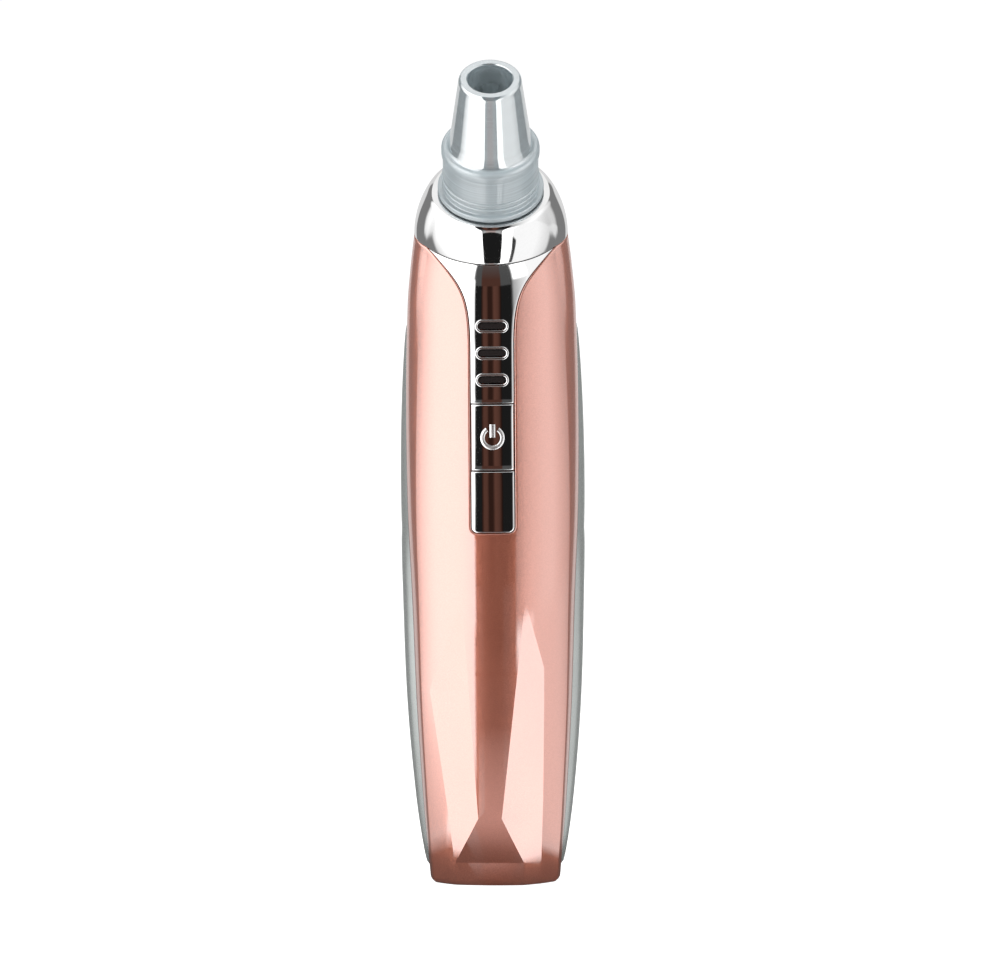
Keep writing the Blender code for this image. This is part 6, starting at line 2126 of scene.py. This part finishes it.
@dataclass
class SuctionHead:
    """The clear pull-off head: flange, ringed collar, shoulder, cone and round mouth."""

    form: BodyForm
    nose: NoseForm
    segments: int = 144
    ring_count: int = 2
    ring_first: float = 1.4
    lip: float = 0.8
    shoulder_round: float = 0.9
    ripple_count: int = 6
    ripple: float = 0.05

    def outline(self) -> list[Pair]:
        """Return the head's section as (radius, height) over its seat."""
        nose, lip, bend = self.nose, self.lip, self.shoulder_round
        ring, low, shoulder, tip = nose.ring, nose.seat_gap, nose.collar_height, nose.tip_height
        points = [(nose.collar_bore() + 0.2, low), (nose.flange_radius - ring, low)]
        points += arc((nose.flange_radius - ring, low + ring), ring, -90, 0, 4)
        points += arc((nose.flange_radius - ring, nose.flange_height - ring), ring, 0, 90, 4)
        points += arc((nose.collar_radius + ring, nose.flange_height + ring), ring, 270, 180, 4)
        for i in range(self.ring_count):
            height = nose.flange_height + self.ring_first * (i + 1)
            points += arc((nose.collar_radius, height), ring, -90, 90, 8)
        points += arc((nose.collar_radius, shoulder - 2.1), ring, -90, 0, 3)
        points += arc((nose.collar_radius + ring - bend, shoulder - bend), bend, 0, 90, 6)
        points += arc((nose.cone_radius + bend, shoulder + bend), bend, 270, 185, 6)
        slope = (nose.cone_radius - nose.tip_radius) / (tip - shoulder)
        for height in spread(shoulder + bend, tip - lip, 16)[1:]:
            points.append((nose.tip_radius + slope * (tip - height), height))
        points += arc((nose.tip_radius - lip + slope * lip, tip - lip), lip, 5, 90, 6)
        points += arc((nose.mouth_radius + lip / 2, tip - lip / 2), lip / 2, 90, 180, 5)
        bore_low, bore_high = shoulder - nose.collar_wall, tip - lip / 2
        for share in spread(0.0, 1.0, 24)[1:]:
            ripple = self.ripple * (1 - math.cos(2 * math.pi * self.ripple_count * share)) / 2
            radius = nose.mouth_radius + (nose.cone_bore - nose.mouth_radius) * share - ripple
            points.append((radius, bore_high + (bore_low - bore_high) * share))
        inside = nose.holder_height + nose.run_gap
        points += [(nose.cone_bore, inside), (nose.collar_bore(), inside), (nose.collar_bore(), low + 0.2)]
        return points

    def build(self) -> None:
        """Make the head."""
        place = self.nose.frame(self.form)
        outline = self.outline()
        head = TurningTree().turned("clear_suction_head", outline, "clear_head", place, self.segments, 40.0)
        settle(head, "head", "clear_head", "suction_head")


@dataclass
class Insides:
    """What the casing holds: solids that keep their shape, and the screws between them."""

    board_shank: float = 0.8
    board_head: Pair = (1.5, 1.1)
    pump_shank: float = 0.75
    pump_head: Pair = (1.4, 1.1)

    def screws(
        self, name: str, nodes: Sequence[str], along_y: bool, shank: float, head: Pair,
    ) -> Item:
        """Make a row of screws in place of their plain solids.

        Args:
            name: the piece's name.
            nodes: the solids' names.
            along_y: whether the screws lie along Y, with their heads to the back.
            shank: the shank's radius.
            head: the head's radius and height.

        Returns:
            The piece that holds all of them.
        """
        boxes = [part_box(node) for node in nodes]
        spots = []
        for low, high in boxes:
            spot = (low + high) / 2
            if along_y:
                spot.y = low.y
            else:
                spot.z = low.z
            spots.append(spot)
        low, high = boxes[0]
        length = (high.y - low.y if along_y else high.z - low.z) - head[1] * MM
        item = ScrewTree().make(
            name, spots, [], "steel", 30.0, Shank_Radius=shank * MM, Shank_Length=length,
            Head_Radius=head[0] * MM, Head_Height=head[1] * MM, Turn=-math.pi / 2 if along_y else 0.0,
        )
        return settle(item, "casing", "steel", *nodes)

    def dress_nodes(self) -> None:
        """Give every solid that is still shown the finish of its slot."""
        slots = {row["node"]: row["material_slot"] for row in frame["record"]["subparts"]}
        for name, node in frame["nodes"].items():
            if node.hide_render:
                continue
            if not node.data.materials:
                node.data.materials.append(None)
            for index in range(len(node.material_slots)):
                node.material_slots[index].material = FINISHES[slots[name]].material()
            LOG.info("%s keeps its shape, in %s", name, slots[name])

    def build(self) -> None:
        """Make the screws and dress the rest."""
        board = [f"board_screw_{i}" for i in range(1, 5)]
        self.screws("board_screws", board, True, self.board_shank, self.board_head)
        pump = [f"pump_screw_{i}" for i in range(1, 4)]
        self.screws("pump_screws", pump, False, self.pump_shank, self.pump_head)
        self.dress_nodes()


# Studio


@dataclass
class Studio:
    """Floor, lamps, reflection cards and camera."""

    distance: float = 1.4
    elevation: float = 8.0
    roll: float = -0.4
    target: tuple[float, float, float] = (0.0, 0.0, 0.095)
    focal: float = 222.7
    shift: Pair = (0.0003, -0.01682)
    drum_radius: float = 0.7
    drum_height: float = 1.3
    drum_floor: float = -0.0004
    drum_steps: int = 180
    left_turns: Pair = (-60.0, -40.0)
    warm_low: Pair = (-13.0, -12.0)
    warm_high: Pair = (11.0, 12.0)
    warm_reaches: Pair = (0.16, 0.45)
    warm_near: float = 0.35
    warm_tint: tuple[float, float, float] = (1.0, 0.42, 0.30)
    near: Pair = (0.034, 0.047)
    near_level: float = 0.06
    far: Pair = (0.45, 0.54)
    left_far: Pair = (0.06, 0.26)
    soft_turn: float = 0.7
    soft_reach: float = 0.006
    cards: tuple[tuple[Pair, Pair, float], ...] = (
        ((50.0, 57.0), (0.0, 0.125), 0.05),
        ((27.0, 50.0), (0.024, 0.06), 2.1),
        ((-52.0, -28.0), (0.028, 0.06), 2.1),
        ((57.5, 92.0), (0.031, 0.06), 1.1),
    )
    middle: Pair = (-20.0, 25.0)
    middle_span: Pair = (-0.1, 0.68)
    middle_reaches: tuple[Pair, ...] = (
        (0.0, 0.04), (0.015, 0.04), (0.021, 0.15), (0.026, 0.36), (0.037, 0.6), (0.05, 0.62), (0.08, 0.56),
        (0.15, 0.28), (0.19, 0.09), (0.40, 0.08), (0.7, 0.08),
    )
    flag_turns: Pair = (-21.0, 27.0)
    flag_reaches: Pair = (0.036, 0.082)
    flag_steps: int = 12
    flag_height: float = 0.0536
    flag_fall: float = 0.18
    flag_level: float = 0.012
    turns: tuple[Pair, ...] = (
        (-180.0, 0.75), (-141.0, 0.75), (-138.0, 0.22), (-106.0, 0.22), (-103.0, 0.9), (-92.0, 1.6),
        (-80.0, 2.0), (-70.0, 2.15), (-22.0, 2.15), (-20.0, 0.012), (-12.0, 0.012), (-10.0, 0.10),
        (-6.0, 0.10), (-4.5, 0.03), (0.5, 0.03), (3.0, 0.12), (8.0, 0.09), (11.0, 0.012), (25.0, 0.012),
        (28.0, 0.45), (38.0, 0.75), (46.0, 0.95), (62.0, 1.2), (74.0, 1.25), (86.0, 1.0), (100.0, 0.7),
        (105.0, 0.22), (138.0, 0.22), (141.0, 0.75), (180.0, 0.75),
    )
    floor_turns: tuple[Pair, ...] = (
        (-180.0, 0.75), (-141.0, 0.75), (-138.0, 0.22), (-106.0, 0.22), (-103.0, 0.6), (-78.0, 1.0),
        (-62.0, 1.2), (-59.0, 2.1), (-24.0, 2.1), (-21.0, 0.08), (26.0, 0.08), (29.0, 2.1), (48.0, 2.1),
        (50.0, 1.1), (86.0, 1.1), (103.0, 0.8), (106.0, 0.22), (138.0, 0.22), (141.0, 0.75), (180.0, 0.75),
    )
    floor_grey: float = 0.40
    floor_shine: float = 0.88
    floor_reach: float = 12.0
    world_light: float = 0.36
    lamps: tuple[tuple[str, tuple[float, float, float], Pair, float], ...] = (
        ("lamp_left", (-0.8, -0.7, 0.7), (0.5, 0.8), 15.0),
        ("lamp_right", (0.8, -0.6, 0.6), (0.5, 0.8), 12.0),
        ("lamp_top", (0.0, 0.2, 1.2), (0.8, 0.6), 9.0),
    )

    def camera(self) -> None:
        """Set the camera at the photograph's angle."""
        data = bpy.data.cameras.new("camera")
        data.sensor_fit = "HORIZONTAL"
        data.lens = self.focal
        data.shift_x, data.shift_y = self.shift
        data.clip_end = 50.0
        item = new_item("camera", data)
        turn = math.radians(self.elevation)
        back = Vector((0.0, -math.cos(turn), math.sin(turn)))
        item.location = Vector(self.target) + back * self.distance
        roll = Matrix.Rotation(math.radians(self.roll), 4, "Z")
        item.rotation_euler = ((-back).to_track_quat("-Z", "Y").to_matrix().to_4x4() @ roll).to_euler()
        bpy.context.scene.camera = item

    def emitter(self, name: str) -> tuple[bpy.types.Material, Canvas, Node]:
        """Return a material for the stage with its canvas and its emission shader.

        Args:
            name: the material's name.

        Returns:
            The material, its canvas and the emission shader.
        """
        made, canvas = new_material(name)
        shine = canvas.add("ShaderNodeEmission")
        canvas.add("ShaderNodeOutputMaterial", {"Surface": shine.outputs["Emission"]})
        return made, canvas, shine

    def fade(self, canvas: Canvas, turn: Socket, angles: Pair, levels: Pair) -> Socket:
        """Return a value that changes from one level to another between two angles in degrees."""
        return canvas.ramp(turn, tuple(math.radians(angle) for angle in angles), levels)

    def around(self, canvas: Canvas, turn: Socket, turns: Sequence[Pair]) -> Socket:
        """Return the light level over the turn around the object, given as (degrees, level)."""
        share = canvas.ramp(turn, (-math.pi, math.pi), (0.0, 1.0))
        return self.along(canvas, share, [((angle + 180.0) / 360.0, level) for angle, level in turns])

    def along(self, canvas: Canvas, share: Socket, levels: Sequence[Pair]) -> Socket:
        """Find the light level along a value from 0 to 1.

        Args:
            canvas: the node tree.
            share: the value.
            levels: (value, level) pairs, with straight lines between them.

        Returns:
            The level.
        """
        curve = canvas.add("ShaderNodeFloatCurve", {"Value": share})
        line = curve.mapping.curves[0]
        most = max(level for _place, level in levels)
        stops = [(place, level / most) for place, level in levels]
        line.points[0].location = stops[0]
        line.points[1].location = stops[-1]
        for place, level in stops[1:-1]:
            line.points.new(place, level)
        for point in line.points:
            point.handle_type = "VECTOR"
        curve.mapping.update()
        return canvas.maths("MULTIPLY", curve.outputs["Value"], most)

    def card(self, canvas: Canvas, turn: Socket, reach: Socket, turns: Pair, reaches: Pair) -> Socket:
        """Find the mask of a soft-edged card on the ground.

        Args:
            canvas: the node tree.
            turn: the turn around the object.
            reach: the distance from the object's middle.
            turns: the card's sides in degrees.
            reaches: its near and far edge in metres.

        Returns:
            1 on the card and 0 off it.
        """
        angles = [math.radians(angle) for angle in turns]
        mask = None
        for value, (low, high), soft in (
            (turn, angles, math.radians(self.soft_turn)), (reach, reaches, self.soft_reach),
        ):
            for ends, levels in (((low, low + soft), (0.0, 1.0)), ((high - soft, high), (1.0, 0.0))):
                side = canvas.ramp(value, ends, levels)
                mask = side if mask is None else canvas.maths("MULTIPLY", mask, side)
        return mask

    def between(self, canvas: Canvas, share: Socket, first: Socket, second: object) -> Socket:
        """Return the first value with the share of the second mixed in."""
        rest = canvas.maths("MULTIPLY", first, canvas.ramp(share, (0.0, 1.0), (1.0, 0.0)))
        return canvas.maths("ADD", rest, canvas.maths("MULTIPLY", share, second))

    def drum(self) -> None:
        """Make the ring of soft light and dark cards that only reflections show."""
        made, canvas, shine = self.emitter("studio_cards")
        vector = canvas.add("ShaderNodeTexCoord").outputs["Object"]
        split = canvas.add("ShaderNodeSeparateXYZ", {"Vector": vector}).outputs
        turn = canvas.maths("ARCTAN2", split["X"], canvas.maths("MULTIPLY", split["Y"], -1.0))
        squares = [canvas.maths("MULTIPLY", split[axis], split[axis]) for axis in "XY"]
        reach = canvas.maths("SQRT", canvas.maths("ADD", *squares))
        wall, ground = (self.around(canvas, turn, turns) for turns in (self.turns, self.floor_turns))
        left = self.fade(canvas, turn, self.left_turns, (1.0, 0.0))
        late, early = (canvas.ramp(reach, span, (0.0, 1.0)) for span in (self.far, self.left_far))
        near = canvas.ramp(reach, self.near, (1.0, 0.0))
        level = self.between(canvas, self.between(canvas, left, late, early), ground, wall)
        level = self.between(canvas, near, level, self.near_level)
        share = canvas.ramp(reach, (0.0, self.drum_radius), (0.0, 1.0))
        rises = [(place / self.drum_radius, value) for place, value in self.middle_reaches]
        rise = self.along(canvas, share, rises)
        for turns, reaches, value in ((self.middle, self.middle_span, rise), *self.cards):
            level = self.between(canvas, self.card(canvas, turn, reach, turns, reaches), level, value)
        warm = self.fade(canvas, turn, self.warm_low, (0.0, 1.0))
        warm = canvas.maths("MULTIPLY", warm, self.fade(canvas, turn, self.warm_high, (1.0, 0.0)))
        warm = canvas.maths("MULTIPLY", warm, canvas.ramp(reach, self.warm_reaches, (self.warm_near, 1.0)))
        canvas.feed(shine, {"Strength": level, "Color": canvas.blend(warm, (1.0, 1.0, 1.0), self.warm_tint)})
        steps, radius = self.drum_steps, self.drum_radius
        points = [(0.0, 0.0, self.drum_floor)]
        for height in (self.drum_floor, self.drum_height):
            for angle in spread(0.0, 2 * math.pi, steps)[:-1]:
                points.append((radius * math.cos(angle), radius * math.sin(angle), height))
        faces = []
        for i in range(steps):
            k = (i + 1) % steps
            faces += [(0, 1 + i, 1 + k), (1 + i, 1 + steps + i, 1 + steps + k, 1 + k)]
        self.reflected("studio_drum", points, faces, made)

    def flag(self) -> None:
        """Hang a dark card in front of the object, leaning so that only the nose reflects it."""
        made, canvas, shine = self.emitter("studio_flag")
        canvas.feed(shine, {"Strength": self.flag_level})
        points, steps = [], self.flag_steps
        for reach in self.flag_reaches:
            for turn in spread(*self.flag_turns, steps):
                angle = math.radians(turn)
                height = self.flag_height - self.flag_fall * reach
                points.append((reach * math.sin(angle), -reach * math.cos(angle), height))
        faces = [(i, i + 1, i + steps + 2, i + steps + 1) for i in range(steps)]
        self.reflected("studio_flag", points, faces, made)

    def panel(
        self, name: str, points: Sequence[Sequence[float]], faces: Sequence[Sequence[int]],
        made: bpy.types.Material,
    ) -> Item:
        """Make an object of one mesh and material, with its points in metres.

        Args:
            name: the object's name.
            points: its points.
            faces: rows of point numbers.
            made: its material.

        Returns:
            The object.
        """
        mesh = bpy.data.meshes.new(name)
        mesh.from_pydata(points, [], faces)
        mesh.materials.append(made)
        return new_item(name, mesh)

    def reflected(
        self, name: str, points: Sequence[Sequence[float]], faces: Sequence[Sequence[int]],
        made: bpy.types.Material,
    ) -> None:
        """Make a stage object that only reflections show.

        Args:
            name: the object's name.
            points: its points in metres.
            faces: rows of point numbers.
            made: its material.
        """
        item = self.panel(name, points, faces, made)
        item.visible_camera = False
        item.visible_diffuse = False
        item.visible_transmission = False
        item.visible_shadow = False

    def floor(self) -> None:
        """Make the pale floor that keeps the object's shadow."""
        made, canvas = new_material("studio_floor")
        grey = (self.floor_grey, self.floor_grey, self.floor_grey, 1.0)
        matte = canvas.add("ShaderNodeBsdfDiffuse", {"Color": grey})
        shine = canvas.add("ShaderNodeEmission", {"Strength": self.floor_shine})
        both = canvas.add("ShaderNodeAddShader", {0: matte.outputs["BSDF"], 1: shine.outputs["Emission"]})
        canvas.add("ShaderNodeOutputMaterial", {"Surface": both.outputs["Shader"]})
        reach = self.floor_reach
        corners = [(-reach, -reach, 0.0), (reach, -reach, 0.0), (reach, reach, 0.0), (-reach, reach, 0.0)]
        item = self.panel("studio_floor", corners, [(0, 1, 2, 3)], made)
        item.visible_glossy = False

    def lamp(self, name: str, place: Sequence[float], size: Pair, power: float) -> None:
        """Set a soft lamp that looks at the object.

        Args:
            name: the lamp's name.
            place: where it stands, in metres.
            size: its width and height.
            power: its strength in watts.
        """
        data = bpy.data.lights.new(name, "AREA")
        data.shape = "RECTANGLE"
        data.size, data.size_y = size
        data.energy = power
        item = new_item(name, data)
        item.location = place
        item.rotation_euler = (Vector(self.target) - Vector(place)).to_track_quat("-Z", "Y").to_euler()
        item.visible_glossy = False

    def world(self) -> None:
        """Set a white world, softer for what it lights than for what is seen of it."""
        world = bpy.data.worlds.new("studio_world")
        bpy.context.scene.world = world
        world.use_nodes = True
        canvas = Canvas(world.node_tree)
        rays = canvas.add("ShaderNodeLightPath").outputs
        seen = canvas.maths("MAXIMUM", rays["Is Camera Ray"], rays["Is Transmission Ray"])
        seen = canvas.maths("MAXIMUM", seen, rays["Is Glossy Ray"])
        light = canvas.ramp(seen, (0.0, 1.0), (self.world_light, 1.0))
        back = canvas.add("ShaderNodeBackground", {"Color": (1.0, 1.0, 1.0, 1.0), "Strength": light})
        canvas.add("ShaderNodeOutputWorld", {"Surface": back.outputs["Background"]})

    def build(self) -> None:
        """Make the whole studio."""
        self.camera()
        self.drum()
        self.flag()
        self.floor()
        self.world()
        for lamp in self.lamps:
            self.lamp(*lamp)
        bpy.context.scene.view_settings.view_transform = "Standard"


def main() -> None:
    """Build every sub-assembly, then the studio."""
    logging.basicConfig(level=logging.INFO, format="%(message)s")
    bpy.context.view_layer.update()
    form, band, strip, nose = BodyForm(), BandForm(), StripForm(), NoseForm()
    FrontSkin(form, band, strip=strip).build()
    RearSkin(form, band).build()
    SideBands(form, band).build()
    ControlStrip(form, strip).build()
    NoseParts(form, nose).build()
    SuctionHead(form, nose).build()
    Insides().build()
    Studio().build()


if __name__ == "__main__":
    main()
